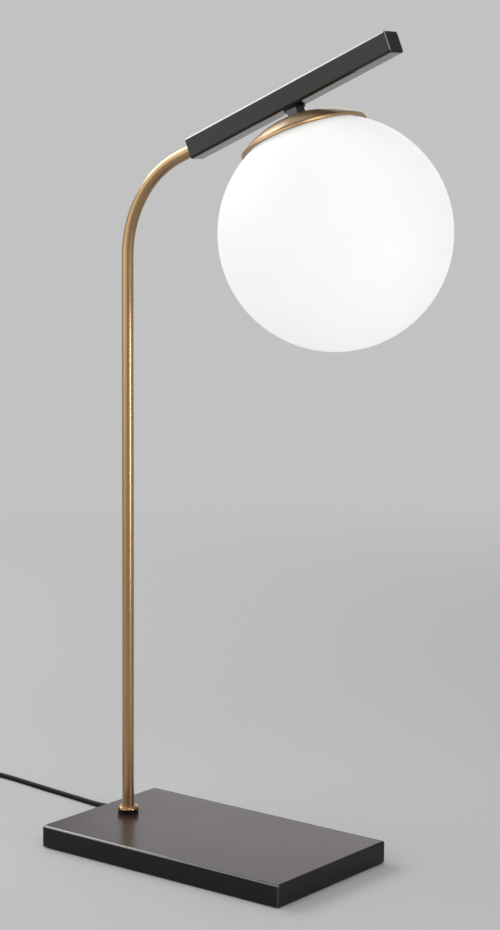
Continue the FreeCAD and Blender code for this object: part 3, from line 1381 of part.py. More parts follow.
def main():
    """Make every piece and write it."""
    os.makedirs("parts", exist_ok=True)
    pieces = {
        "base_plate": make_base_plate,
        "base_pad": make_base_pad,
        "base_cover": make_base_cover,
        "base_cover_screws": make_cover_screws,
        "cord_clamp": make_cord_clamp,
        "cord_clamp_screws": make_clamp_screws,
        "cord_inner_end": make_cord_inner_end,
        "cord_strain_relief": make_strain_relief,
        "stem_tube": make_stem_tube,
        "stem_collar": make_stem_collar,
        "stem_washer": make_foot_washer,
        "stem_lock_washer": make_stem_lock_washer,
        "stem_nut": make_stem_nut,
        "stem_end_bush": make_stem_end_bush,
        "arm_tube": make_arm_tube,
        "arm_socket": make_arm_socket,
        "arm_grub_screws": make_grub_screws,
        "arm_end_cap": make_arm_end_cap,
        "arm_nipple": make_arm_nipple,
        "nipple_nut": make_nipple_nut,
        "nipple_lock_washer": make_nipple_lock_washer,
        "arm_washer": make_arm_washer,
        "hex_coupler": make_hex_coupler,
        "canopy": make_canopy,
        "canopy_nut": make_canopy_nut,
        "globe_carrier": make_globe_carrier,
        "carrier_nut": make_carrier_nut,
        "globe_collar": make_globe_collar,
        "globe_seal": make_globe_seal,
        "globe": make_globe,
        "holder_cap": make_holder_cap,
        "holder_body": make_holder_body,
        "holder_insert": make_holder_insert,
        "holder_terminals": make_holder_terminals,
        "holder_terminal_screws": make_terminal_screws,
        "holder_thread_shell": make_thread_shell,
        "holder_centre_contact": make_centre_contact,
        "bulb_contact": make_bulb_contact,
        "bulb_cap": make_bulb_cap,
        "bulb_housing": make_bulb_housing,
        "bulb_dome": make_bulb_dome,
        "cord_coil": make_cord_coil,
        "coil_tie": make_coil_tie,
        "switch_case_lower": make_switch_lower,
        "switch_case_upper": make_switch_upper,
        "switch_rocker": make_switch_rocker,
        "switch_contacts": make_switch_contacts,
        "switch_cord_saddles": make_switch_saddles,
        "switch_screws": make_switch_screws,
        "plug_body": make_plug_body,
        "plug_pins": make_plug_pins,
        "plug_pin_sleeves": make_plug_sleeves,
    }
    for name, make in pieces.items():
        save(name, make())
    for name, side in (("live_wire", 1), ("neutral_wire", -1)):
        save(name, make_wire(side))
    for name, points in (("cord_lead", LEAD_ROUTE), ("cord_link", LINK_ROUTE), ("cord_tail", TAIL_ROUTE)):
        save(name, lead_tube(name, points))


main()
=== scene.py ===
import json
from math import atan2, cos, pi, radians, sin, sqrt, tan

import bmesh
import bpy
from bmesh.types import BMEdge, BMVert
from mathutils import Matrix, Vector


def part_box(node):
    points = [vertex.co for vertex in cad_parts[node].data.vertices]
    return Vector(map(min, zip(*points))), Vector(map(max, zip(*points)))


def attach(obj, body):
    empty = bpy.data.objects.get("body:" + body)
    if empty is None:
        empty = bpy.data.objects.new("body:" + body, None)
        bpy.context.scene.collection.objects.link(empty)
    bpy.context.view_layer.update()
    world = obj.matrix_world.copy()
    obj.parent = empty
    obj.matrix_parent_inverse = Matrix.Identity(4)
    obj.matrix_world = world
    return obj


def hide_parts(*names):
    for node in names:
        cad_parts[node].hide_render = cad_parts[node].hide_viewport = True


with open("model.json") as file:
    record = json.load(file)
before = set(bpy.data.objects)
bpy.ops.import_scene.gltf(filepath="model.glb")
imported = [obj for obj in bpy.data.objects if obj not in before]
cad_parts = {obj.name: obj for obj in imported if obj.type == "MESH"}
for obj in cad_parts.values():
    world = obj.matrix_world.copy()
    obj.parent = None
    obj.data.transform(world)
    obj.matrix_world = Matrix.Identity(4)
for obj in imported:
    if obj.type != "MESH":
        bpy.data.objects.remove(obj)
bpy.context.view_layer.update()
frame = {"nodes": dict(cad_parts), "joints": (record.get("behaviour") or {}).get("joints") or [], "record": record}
NODES = frame["nodes"]
JOINTS = {joint["name"]: joint for joint in frame["joints"]}
MM = 0.001

# Sizes of the base, the stem and its foot, in millimetres
BASE_SIZE = (246.0, 145.0)
BASE_TOP = 19.0
BASE_CORNER = 1.8
BASE_EDGE = 1.8
PAD_THICKNESS = 1.5
COVER_TOP = 2.7
COVER_GAP = 0.3
STEM_X = -91.0
STEM_RADIUS = 5.0
STEM_WALL = 1.0
STEM_STRAIGHT = 489.0
STEM_PAST_BEND = 40.0
BEND_RADIUS = 88.0
BEND = radians(67.0)
FOOT_WASHER = (8.75, 2.0)
FOOT_WASHER_EDGE = 0.35
BEAD_LOW, BEAD_BELLY, BEAD_NECK = (7.6, 0.0), (9.0, 2.0), (5.6, 4.6)
BORE = 5.05

# Sizes of the arm
ARM_SIDE = 17.5
ARM_WALL = 1.5
ARM_CORNER = 2.3
ARM_LENGTH = 206.0
ARM_REACH = 18.0
END_CAP = 1.5
END_EDGE = 1.2
GRUB_PLACES = (8.0, 18.0)
GRUB_HOLE = 2.05

# Sizes of the fixture under the arm, and of the globe
ARM_WASHER = (8.7, 1.2)
ARM_WASHER_EDGE = 0.25
COUPLER_SIDES = 6
COUPLER_ACROSS = 14.0
COUPLER_HEIGHT = 6.8
COUPLER_EDGE = 0.45
CANOPY_WALL = 0.8
CANOPY_DEPTH = 17.25
CANOPY_FLAT = 9.0
CANOPY_MID = (33.0, 5.85)
CANOPY_SHOULDER = 49.4
RIM_RADIUS = 50.5
RIM_HEIGHT = 2.4
RIM_EDGE = 0.6
RIM_GROOVE = 0.4
RIM_LIP = 48.2
GLOBE_RADIUS = 90.0
GLOBE_WALL = 3.0
GLOBE_MOUTH = 40.0
GLASS_GAP = 0.67

# Sizes of the lead, its coil and its tie
CORD_RADIUS = 2.2
CORD_STEP = 4.4
COIL_CENTRE = (-270.0, -66.0)
COIL_LOW = 3.2
COIL_INNER = 19.8
LAST_TURN_SHARE = 0.24
TIE_ANGLE = radians(150.0)
TIE_WIDTH = 6.5
TIE_THICKNESS = 0.8
TIE_GAP = 0.1
TIE_CORNER = 2.0

# Sizes of the strain relief; the pairs are where a part of it ends, and its radius
RELIEF_LENGTH = 33.0
RELIEF_FLANGE = (2.5, 4.3)
RELIEF_NECK = (11.0, 3.0)
RELIEF_STOP = (12.5, 3.9)
RELIEF_THICK = 3.5
RELIEF_TAPER = 0.7
RELIEF_TIP = 2.8
RELIEF_BORE = 2.3
RIB_START = 13.2
RIB_PITCH = 2.6
RIB_GAP = 0.8
RIB_DEPTH = 0.55
RIB_FALL = 0.05

# Sizes of the inline switch
SWITCH_SIZE = (66.0, 25.0, 17.0)
SWITCH_SPLIT = 8.5
SWITCH_CORNER = 6.0
SWITCH_EDGE = 1.6
SPLIT_EDGE = 0.25
WINDOW = (24.4, 10.8, 7.6)
ROCKER = (22.4, 10.0)
ROCKER_BELLY = 2.5
ROCKER_CROWN = 2.6
ROCKER_EDGE = 0.5
ROCKER_TILT = radians(10.0)
LINE_MARK = (0.7, 3.0, 0.1)
RING_MARK = (1.0, 1.6)
MARK_LIFT = 0.06

# Sizes of the plug
PLUG_PLACE = (-312.0, -96.0)
PLUG_LENGTH = 36.0
PLUG_WIDTH = 35.3
PLUG_REAR = 13.7
PLUG_THICKNESS = 13.7
PLUG_FACE = 12.0
PLUG_CORNER = 2.0
PLUG_EDGE = 1.0
GRIP_GROOVES = (-15.5, -12.5, -9.5, -6.5)
GROOVE_SLOPE = 0.7
GROOVE_SQUEEZE = (1, 0.95, 0.92)

# Steps of rounded edges and arcs, and of full turns
CORNER_STEPS, CASE_STEPS, EDGE_STEPS, FINE_STEPS = 5, 6, 4, 3
BEND_STEPS, BEAD_STEPS, CANOPY_STEPS, GLOBE_STEPS = 36, 14, 28, 60
SMALL_TURN, STEM_TURN, WASHER_TURN, BEAD_TURN, WIDE_TURN = 32, 56, 64, 72, 112
TURN_POINTS = 16
RISE_POINTS = 4

# Tolerances, in millimetres and as cosines, and the angle of a sharp edge
MERGE_DISTANCE = 0.0005
LEVEL_WITHIN = 0.001
CUT_WITHIN = 0.0001
GROOVE_WITHIN = 0.01
PARALLEL = 0.999
FACING = 0.9
SHARP = radians(32.0)

# Places that follow from the sizes
COUPLER_TOP = ARM_SIDE / 2 + ARM_WASHER[1]
CANOPY_TOP = COUPLER_TOP + COUPLER_HEIGHT
RIM_TOP = CANOPY_TOP + CANOPY_DEPTH - RIM_HEIGHT / 2
RIM_BOTTOM = RIM_TOP + RIM_HEIGHT
GLOBE_DROP = RIM_BOTTOM + sqrt((GLOBE_RADIUS + GLASS_GAP) ** 2 - RIM_LIP**2)
ALONG_ARM = Vector((sin(BEND), 0, cos(BEND)))
BEND_CENTRE = Vector((STEM_X + BEND_RADIUS, 0, STEM_STRAIGHT))
BEND_END = BEND_CENTRE + BEND_RADIUS * Vector((-cos(BEND), 0, sin(BEND)))
ARM_START = BEND_END + ALONG_ARM * ARM_REACH
SWITCH_CENTRE = Vector(JOINTS["switch_rock"]["pos_m"]) / MM
GLOBE_CENTRE = Vector(JOINTS["globe_twist"]["pos_m"]) / MM
FIXTURE_UP = -Vector(JOINTS["globe_twist"]["axis"])
X, Y, Z = Vector((1, 0, 0)), Vector((0, 1, 0)), Vector((0, 0, 1))


def placed(origin, along, up):
    """Matrix that puts X on along and Z on up, at the origin."""
    across = up.cross(along)
    matrix = Matrix((along, across, up)).transposed().to_4x4()
    matrix.translation = origin
    return matrix


ON_ARM = placed(ARM_START, ALONG_ARM, ALONG_ARM.cross(Y))
ON_FIXTURE = placed(GLOBE_CENTRE + FIXTURE_UP * GLOBE_DROP, Y.cross(FIXTURE_UP), FIXTURE_UP)


def new_object(name, data):
    """Object that stands in the scene."""
    thing = bpy.data.objects.new(name, data)
    bpy.context.scene.collection.objects.link(thing)
    return thing


# ---------------------------------------------------------------- camera

CAMERA_PLACE = Vector((1.139896, -1.427781, 0.590323))
CAMERA_YAW = -0.6577693
CAMERA_PITCH = -0.1440362
CAMERA_ROLL = 0.0068412
CAMERA_LENS = 88.824
CAMERA_NEAR, CAMERA_FAR = 0.05, 60.0


def make_camera():
    """Camera at the viewing angle fitted to the photograph."""
    flat = cos(CAMERA_PITCH)
    forward = Vector((sin(CAMERA_YAW) * flat, cos(CAMERA_YAW) * flat, sin(CAMERA_PITCH)))
    level = Vector((cos(CAMERA_YAW), -sin(CAMERA_YAW), 0))
    upright = level.cross(forward)
    right = level * cos(CAMERA_ROLL) + upright * sin(CAMERA_ROLL)
    top = upright * cos(CAMERA_ROLL) - level * sin(CAMERA_ROLL)
    data = bpy.data.cameras.new("camera")
    data.lens = CAMERA_LENS
    data.clip_start = CAMERA_NEAR
    data.clip_end = CAMERA_FAR
    camera = new_object("camera", data)
    matrix = Matrix((right, top, -forward)).transposed().to_4x4()
    matrix.translation = CAMERA_PLACE
    camera.matrix_world = matrix
    bpy.context.scene.camera = camera


make_camera()

# ---------------------------------------------------------------- shaders


class Signal:
    """One shader value that can stand in sums."""

    def __init__(self, owner, socket):
        self.owner = owner
        self.socket = socket

    def reckon(self, operation, first, second):
        return self.owner.add("ShaderNodeMath", {"operation": operation}, {0: first, 1: second})

    def __add__(self, other):
        return self.reckon("ADD", self, other)

    def __radd__(self, other):
        return self.reckon("ADD", other, self)

    def __sub__(self, other):
        return self.reckon("SUBTRACT", self, other)

    def __rsub__(self, other):
        return self.reckon("SUBTRACT", other, self)

    def __mul__(self, other):
        return self.reckon("MULTIPLY", self, other)

    def __rmul__(self, other):
        return self.reckon("MULTIPLY", other, self)


class ShaderTree:
    """A tree of shader nodes, with one method that adds each of them."""

    def __init__(self, tree):
        self.tree = tree

    def add(self, kind, settings=None, values=None, output=0):
        """New node: its settings first, then a value or a link for each socket."""
        node = self.tree.nodes.new(kind)
        for key, value in (settings or {}).items():
            setattr(node, key, value)
        for key, value in (values or {}).items():
            if isinstance(value, Signal):
                self.link(value, node.inputs[key])
            else:
                node.inputs[key].default_value = value
        return Signal(self, node.outputs[output])

    def link(self, signal, socket):
        self.tree.links.new(signal.socket, socket)

    def on_vectors(self, operation, *vectors, output="Vector"):
        values = dict(enumerate(vectors))
        return self.add("ShaderNodeVectorMath", {"operation": operation}, values, output)

    def blend(self, share, first, second):
        """Mixes two colours, by the colour sockets of the Mix node."""
        values = {0: share, 6: first, 7: second}
        return self.add("ShaderNodeMix", {"data_type": "RGBA"}, values, 2)

    def blend_shaders(self, share, first, second):
        return self.add("ShaderNodeMixShader", {}, {0: share, 1: first, 2: second})

    def ramp(self, signal, low, high, to_low=0.0, to_high=1.0):
        """Smooth step from one level to another between two values of the signal."""
        values = {
            "Value": signal,
            "From Min": low,
            "From Max": high,
            "To Min": to_low,
            "To Max": to_high,
        }
        return self.add("ShaderNodeMapRange", {"interpolation_type": "SMOOTHSTEP"}, values)


class Finish(ShaderTree):
    """A material round one Principled shader."""

    def __init__(self, name, **constants):
        self.name = name
        self.material = bpy.data.materials.new(name)
        self.material.use_nodes = True
        super().__init__(self.material.node_tree)
        self.shader = self.tree.nodes["Principled BSDF"]
        self.fix(**constants)
        self.place = self.add("ShaderNodeTexCoord", output="Object")

    def fix(self, **constants):
        """Sets sockets of the shader, named with low lines for their spaces."""
        for key, value in constants.items():
            self.shader.inputs[key.replace("_", " ")].default_value = value

    def feed(self, name, signal):
        self.link(signal, self.shader.inputs[name])

    def noise(self, scale, detail=2.0, stretch=(1, 1, 1)):
        return self.noise_at(self.on_vectors("MULTIPLY", self.place, stretch), scale, detail)

    def noise_at(self, where, scale, detail):
        values = {"Vector": where, "Scale": scale, "Detail": detail}
        return self.add("ShaderNodeTexNoise", {}, values)

    def bump(self, height, distance):
        values = {"Height": height, "Distance": distance, "Strength": 1.0}
        self.feed("Normal", self.add("ShaderNodeBump", {}, values))


def shade(colour, factor):
    """Lighter or darker tone of a colour, with its alpha."""
    return tuple(min(1.0, channel * factor) for channel in colour[:3]) + (1.0,)


# Scales of noise are per metre, and depths of bump in metres
PAINT_PATCHES = 14.0
PAINT_GRAIN = 1500.0
PAINT_DEPTH = 0.000006
PAINT_UNEVEN = 0.03
PAINT_SHADES = (0.82, 1.22)
PATCH_SHARE, GRAIN_SHARE = 0.7, 0.3
MEAN = 0.5


def painted(
    name, colour, rough, grain=PAINT_GRAIN, depth=PAINT_DEPTH, uneven=PAINT_UNEVEN,
    specular=0.5, coat=0.0,
):
    """Satin coat: a fine even grain, with slow changes of tone and gloss."""
    finish = Finish(name, Specular_IOR_Level=specular, Coat_Weight=coat, Coat_Roughness=0.14)
    dark, light = (shade(colour, factor) for factor in PAINT_SHADES)
    slow = finish.noise(PAINT_PATCHES, detail=3.0)
    fine = finish.noise(grain)
    tone = slow * PATCH_SHARE + fine * GRAIN_SHARE
    finish.feed("Base Color", finish.blend(tone, dark, light))
    finish.feed("Roughness", rough + (slow - MEAN) * uneven + (fine - MEAN) * uneven)
    finish.bump(fine, depth)
    return finish


def moulded(name, colour, rough, grain=2200.0, depth=0.00004, specular=0.5):
    """Moulded plastic or rubber with a fine eroded texture."""
    return painted(name, colour, rough, grain, depth, uneven=0.1, specular=specular)


# Where the mask of an outer part starts and is whole, in sizes of its edge
MASK_START, MASK_WHOLE = 0.9, 0.6
RUBBED_IOR = 2.0
SHORT_SIDE_SHARE = 0.5
UNDERSIDE_EDGE = 0.3


def outer_part(finish, origin, direction, limit, size):
    """Mask of what lies farthest along a direction, from inside a rounded edge of that size."""
    offset = finish.on_vectors("SUBTRACT", finish.place, tuple(origin * MM))
    along = finish.on_vectors("DOT_PRODUCT", offset, tuple(direction), output="Value")
    return finish.ramp(along, (limit - size * MASK_START) * MM, (limit - size * MASK_WHOLE) * MM)


def both_sides(finish, origin, direction, limit, size):
    """Mask of what lies farthest along a direction, either way."""
    first = outer_part(finish, origin, direction, limit, size)
    return first + outer_part(finish, origin, -direction, limit, size)


def rubbed(finish, mask):
    """Glossier coat where handling and thicker paint leave it."""
    finish.fix(Coat_IOR=RUBBED_IOR)
    finish.feed("Coat Weight", mask.reckon("MINIMUM", mask, 1.0))
    return finish


def slab_paint(name, colour, rough):
    """The base's satin coat with its dusty sheen, glossier along its upper edges."""
    finish = painted(name, colour, rough, grain=900.0, depth=0.000009, uneven=0.09, specular=0.22)
    finish.fix(Sheen_Weight=0.13, Sheen_Roughness=0.4, Sheen_Tint=(1.0, 0.68, 0.57, 1))
    middle = Vector((0, 0, 0))
    length, width = BASE_SIZE
    long_sides = both_sides(finish, middle, Y, width / 2, BASE_EDGE)
    short_sides = both_sides(finish, middle, X, length / 2, BASE_CORNER)
    high = outer_part(finish, middle, Z, BASE_TOP, BASE_EDGE)
    return rubbed(finish, long_sides * (high + short_sides * SHORT_SIDE_SHARE))


def bar_paint(name, colour, rough, specular=0.32):
    """The arm's satin coat: glossier along its upper edges, underneath and round its end."""
    finish = painted(name, colour, rough, specular=specular)
    across, up = ON_ARM.col[1].xyz, ON_ARM.col[2].xyz
    if up.z < 0:
        up = -up
    half = ARM_SIDE / 2
    high = outer_part(finish, ARM_START, up, half, ARM_CORNER)
    upper_edges = high * both_sides(finish, ARM_START, across, half, ARM_CORNER)
    underneath = outer_part(finish, ARM_START, -up, half, UNDERSIDE_EDGE)
    end = outer_part(finish, ARM_START, ALONG_ARM, ARM_LENGTH, END_EDGE)
    end_sides = both_sides(finish, ARM_START, across, half, END_EDGE)
    end_top = outer_part(finish, ARM_START, up, half, END_EDGE)
    return rubbed(finish, upper_edges + underneath + end * (end_sides + end_top))


METAL_PATCHES = 30.0
METAL_MARKS = 900.0
METAL_DEPTH = 0.000008
METAL_SHARES = (0.5, 0.5)
METAL_UNEVEN = (0.05, 0.08)
MIRROR_DEPTH = 0.000001


def metal(
    name, light, dark, rough, stretch=(1, 1, 1), marks=METAL_MARKS, depth=METAL_DEPTH, coat=0.0
):
    """Brushed or plated metal: fine marks drawn out one way, with slow patches of tone."""
    finish = Finish(name, Metallic=1.0, Coat_Weight=coat, Coat_Roughness=0.18)
    patches = finish.noise(METAL_PATCHES, detail=4.0)
    lines = finish.noise(marks, detail=3.0, stretch=stretch)
    tone = patches * METAL_SHARES[0] + lines * METAL_SHARES[1]
    finish.feed("Base Color", finish.blend(tone, dark, light))
    level = rough + (patches - MEAN) * METAL_UNEVEN[0]
    finish.feed("Roughness", level + (lines - MEAN) * METAL_UNEVEN[1])
    finish.bump(lines, depth)
    return finish


SPUN_PATCHES, SPUN_RINGS, SPUN_BANDS = 26.0, 2400.0, 260.0
SPUN_SHARES = (0.4, 0.3, 0.3)
SPUN_UNEVEN = (0.04, 0.06)
# Painted shade: a dark brown band along the groove above the canopy's rim, where the crease would be in shade
GROOVE_SHADE = (0.06, 0.035, 0.018, 1)
GROOVE_SHADE_BAND = (CANOPY_SHOULDER - 0.9, CANOPY_SHOULDER + 0.6)
GROOVE_SHADE_RISE, GROOVE_SHADE_FALL = 0.3, 0.2
GROOVE_SHADE_ROUGH = 0.2


def spun_brass(name, light, dark, rough):
    """Spun metal: fine rings round the fixture's axis, told by the distance from it, and a painted shade in the
    groove above the rim.
    """
    finish = Finish(name, Metallic=1.0, Coat_Weight=0.3, Coat_Roughness=0.12)
    offset = finish.on_vectors("SUBTRACT", finish.place, tuple(ON_FIXTURE.translation * MM))
    across = finish.on_vectors("CROSS_PRODUCT", offset, tuple(FIXTURE_UP))
    radius = finish.on_vectors("LENGTH", across, output="Value")
    from_axis = finish.add("ShaderNodeCombineXYZ", {}, {"Z": radius})
    rings = finish.noise_at(from_axis, SPUN_RINGS, detail=2.0)
    bands = finish.noise_at(from_axis, SPUN_BANDS, detail=1.0)
    patches = finish.noise(SPUN_PATCHES)
    in_patches, in_rings, in_bands = SPUN_SHARES
    tone = patches * in_patches + rings * in_rings + bands * in_bands
    spun = finish.blend(tone, dark, light)
    # Painted shade in the groove above the rim: a dark band, made rougher there too
    start, stop = (limit * MM for limit in GROOVE_SHADE_BAND)
    groove_shade = finish.ramp(radius, start, start + GROOVE_SHADE_RISE * MM)
    groove_shade = groove_shade * finish.ramp(radius, stop - GROOVE_SHADE_FALL * MM, stop, 1.0, 0.0)
    finish.feed("Base Color", finish.blend(groove_shade, spun, GROOVE_SHADE))
    level = rough + (patches - MEAN) * SPUN_UNEVEN[0] + (bands - MEAN) * SPUN_UNEVEN[1]
    finish.feed("Roughness", level + groove_shade * GROOVE_SHADE_ROUGH)
    finish.bump(rings, MIRROR_DEPTH)
    return finish


GLASS_CLOUDS = 9.0
GLASS_TONES = (0.4, 0.4, 0.394, 1), (0.43, 0.43, 0.424, 1)
PAINTED_GLOW_TONES = (0.96, 0.96, 0.95, 1), (1, 1, 0.99, 1)


def glass_opal(name, rough=0.42, uneven=0.06):
    """Opal glass: light scatters inside it, with faint clouds, and a painted glow that evens out its shading."""
    # The emission is painted light: the globe glows though no lamp is lit inside it, which flattens its light and
    # shade
    finish = Finish(
        name, Subsurface_Weight=1.0, Subsurface_Radius=(0.05, 0.05, 0.05), Subsurface_Scale=1.0,
        Specular_IOR_Level=0.2, Emission_Strength=0.41,
    )
    clouds = finish.noise(GLASS_CLOUDS)
    finish.feed("Base Color", finish.blend(clouds, *GLASS_TONES))
    finish.feed("Emission Color", finish.blend(clouds, *PAINTED_GLOW_TONES))
    finish.feed("Roughness", rough + clouds * uneven)
    return finish


BRASS_LIGHT, BRASS_DARK = (0.43, 0.27, 0.125, 1), (0.33, 0.197, 0.083, 1)
FINISHES = {
    finish.name: finish
    for finish in (
        slab_paint("base_black", (0.0045, 0.0038, 0.0035), rough=0.29),
        bar_paint("arm_black", (0.009, 0.009, 0.0094), rough=0.2),
        metal(
            "antique_brass", BRASS_LIGHT, BRASS_DARK, rough=0.3, stretch=(1, 1, 0.02),
            depth=MIRROR_DEPTH, coat=0.75,
        ),
        metal("zinc_steel", (0.62, 0.62, 0.6, 1), (0.5, 0.5, 0.48, 1), rough=0.34),
        glass_opal("opal_glass"),
        moulded("silicone", (0.8, 0.8, 0.78), rough=0.42, grain=600.0),
        moulded("pad_rubber", (0.03, 0.03, 0.03), rough=0.85, grain=1400.0, depth=0.0002),
        moulded("black_nylon", (0.006, 0.006, 0.006), rough=0.4, specular=0.15),
        moulded("black_rubber", (0.017, 0.017, 0.0175), rough=0.55, grain=1600.0),
        moulded("holder_plastic", (0.04, 0.04, 0.04), rough=0.42),
        moulded("ceramic", (0.86, 0.85, 0.8), rough=0.16, grain=300.0, depth=0.00001),
        metal("contact_brass", (0.75, 0.58, 0.28, 1), (0.6, 0.44, 0.2, 1), rough=0.24),
        metal("nickel", (0.72, 0.71, 0.68, 1), (0.6, 0.59, 0.57, 1), rough=0.2),
        moulded("bulb_white", (0.86, 0.86, 0.85), rough=0.3, grain=800.0, depth=0.00001),
        moulded("bulb_diffuser", (0.9, 0.9, 0.88), rough=0.45, grain=900.0, depth=0.00001),
        moulded(
            "cord_black", (0.004, 0.004, 0.0042), rough=0.45, grain=1800.0, depth=0.00002,
            specular=0.12,
        ),
        moulded("wire_brown", (0.16, 0.06, 0.025), rough=0.4),
        moulded("wire_blue", (0.03, 0.11, 0.36), rough=0.4),
        moulded("switch_black", (0.02, 0.02, 0.0205), rough=0.5, grain=2400.0, depth=0.00006),
        moulded("rocker_black", (0.014, 0.014, 0.0145), rough=0.2, grain=900.0, depth=0.00001),
        moulded("plug_black", (0.017, 0.017, 0.0175), rough=0.48, grain=2000.0, depth=0.00005),
    )
}
CANOPY_BRASS = spun_brass(
    "canopy_brass", (0.47, 0.3, 0.145, 1), (0.37, 0.225, 0.1, 1), rough=0.31
)
# The bead's brass is polished and darker than the stem's; its darker colour is painted shade
BEAD_SHADED_BRASS = metal(
    "bead_shaded_brass", (0.33, 0.2, 0.1, 1), (0.25, 0.14, 0.065, 1), rough=0.15, marks=1600.0,
    depth=MIRROR_DEPTH,
)
# The end cap's paint is darker than the arm's, as painted shade on the arm's end face; its gloss is lower too
CAP_SHADED_BLACK = bar_paint("cap_shaded_black", (0.006, 0.006, 0.0063), rough=0.2, specular=0.16)
COUPLER_BLACK = painted("coupler_black", (0.01, 0.01, 0.0105), rough=0.15, coat=0.5)
MARK_WHITE = moulded("mark_white", (0.75, 0.75, 0.73), rough=0.45, grain=1500.0, depth=0.00001)

for part in frame["record"]["subparts"]:
    node = NODES[part["node"]]
    node.data.materials.clear()
    node.data.materials.append(FINISHES[part["material_slot"]].material)

# ---------------------------------------------------------------- tools for pieces


def piece(name, shape, slot, nodes=(), body="root", place=None, finish=None):
    """Turns a shape in millimetres into a finished piece of the lamp."""
    bmesh.ops.remove_doubles(shape, verts=shape.verts, dist=MERGE_DISTANCE)
    bmesh.ops.recalc_face_normals(shape, faces=shape.faces)
    to_lamp = Matrix.Scale(MM, 4) @ (place or Matrix())
    bmesh.ops.transform(shape, matrix=to_lamp, verts=shape.verts)
    mesh = bpy.data.meshes.new(name)
    shape.to_mesh(mesh)
    shape.free()
    mesh.shade_smooth()
    mesh.set_sharp_from_angle(angle=SHARP)
    mesh.materials.append((finish or FINISHES[slot]).material)
    thing = new_object(name, mesh)
    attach(thing, body)
    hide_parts(*nodes)
    return thing


def even_normals(thing):
    """Keeps the shading of flat faces flat beside their rounded edges."""
    weighted = thing.modifiers.new("normals", "WEIGHTED_NORMAL")
    weighted.keep_sharp = True
    return thing


def give_wall(thing, name, thickness):
    """Wall that grows inwards from the outer skin."""
    wall = thing.modifiers.new(name, "SOLIDIFY")
    wall.thickness = thickness * MM
    wall.offset = -1


def only(kind, items):
    return [item for item in items if isinstance(item, kind)]


def edges_at(verts):
    return list(dict.fromkeys(edge for vert in verts for edge in vert.link_edges))


def axis_vector(axis, length):
    vector = Vector((0, 0, 0))
    vector[axis] = length
    return vector


def around(middle, size):
    return (middle - size / 2, middle + size / 2)


def block(x_range, y_range, z_range, shape=None):
    """Box between the given limits."""
    shape = shape or bmesh.new()
    made = bmesh.ops.create_cube(shape, size=1)["verts"]
    ranges = (x_range, y_range, z_range)
    size = Vector([high - low for low, high in ranges])
    middle = Vector([(high + low) / 2 for low, high in ranges])
    bmesh.ops.scale(shape, vec=size, verts=made)
    bmesh.ops.translate(shape, vec=middle, verts=made)
    return shape


def prism(outline, vector):
    """Solid that a flat outline leaves behind on its way along the vector."""
    shape = bmesh.new()
    face = shape.faces.new([shape.verts.new(point) for point in outline])
    made = bmesh.ops.extrude_face_region(shape, geom=[face])["geom"]
    bmesh.ops.translate(shape, vec=vector, verts=only(BMVert, made))
    return shape


def extruded(shape, edges, vector):
    made = bmesh.ops.extrude_edge_only(shape, edges=edges)["geom"]
    bmesh.ops.translate(shape, vec=vector, verts=only(BMVert, made))
    return only(BMEdge, made)


def open_ends(shape, axis):
    """Takes off the two faces that look along an axis."""
    ends = [face for face in shape.faces if abs(face.normal[axis]) > FACING]
    bmesh.ops.delete(shape, geom=ends, context="FACES_ONLY")


def is_along(edge, axis):
    direction = edge.verts[1].co - edge.verts[0].co
    return abs(direction[axis]) > PARALLEL * direction.length


def is_level(edge, axis, height):
    """Whether an edge lies in the plane at that height along the axis."""
    return all(abs(vert.co[axis] - height) < LEVEL_WITHIN for vert in edge.verts)


def round_edges(shape, edges, size, steps):
    bmesh.ops.bevel(
        shape, geom=edges, offset=size, segments=steps, affect="EDGES", profile=0.5,
        material=-1, clamp_overlap=True,
    )


def round_along(shape, axis, size, steps):
    round_edges(shape, [edge for edge in shape.edges if is_along(edge, axis)], size, steps)


def round_rim(shape, axis, height, size, steps):
    rim = [edge for edge in shape.edges if is_level(edge, axis, height)]
    round_edges(shape, rim, size, steps)


def cut(shape, geometry, axis, limit):
    """Cuts edges and faces where a plane square to an axis crosses them."""
    bmesh.ops.bisect_plane(
        shape, geom=geometry, dist=CUT_WITHIN, plane_co=axis_vector(axis, limit),
        plane_no=axis_vector(axis, 1),
    )


def sunk(shape, axis, height, ranges, depth):
    """Sinks a straight-sided recess into the flat face at that height."""
    others = [index for index in range(3) if index != axis]

    def flat_faces():
        return [
            face for face in shape.faces if all(is_level(edge, axis, height) for edge in face.edges)
        ]

    def within(point):
        return all(low < point[index] < high for index, (low, high) in zip(others, ranges))

    for index, limits in zip(others, ranges):
        for limit in limits:
            around_flat = (
                item for face in flat_faces() for item in (face, *face.edges, *face.verts)
            )
            cut(shape, list(dict.fromkeys(around_flat)), index, limit)
    inside = [face for face in flat_faces() if within(face.calc_center_median())]
    moved = bmesh.ops.extrude_discrete_faces(shape, faces=inside)["faces"]
    verts = list(dict.fromkeys(vert for face in moved for vert in face.verts))
    bmesh.ops.translate(shape, vec=axis_vector(axis, depth), verts=verts)


def circle_centre(first, second, third):
    """Centre of the circle through three points of a plane."""
    a, b = second - first, third - first
    cross = 2 * (a.x * b.y - a.y * b.x)
    x = (b.y * a.length_squared - a.y * b.length_squared) / cross
    y = (a.x * b.length_squared - b.x * a.length_squared) / cross
    return first + Vector((x, y))


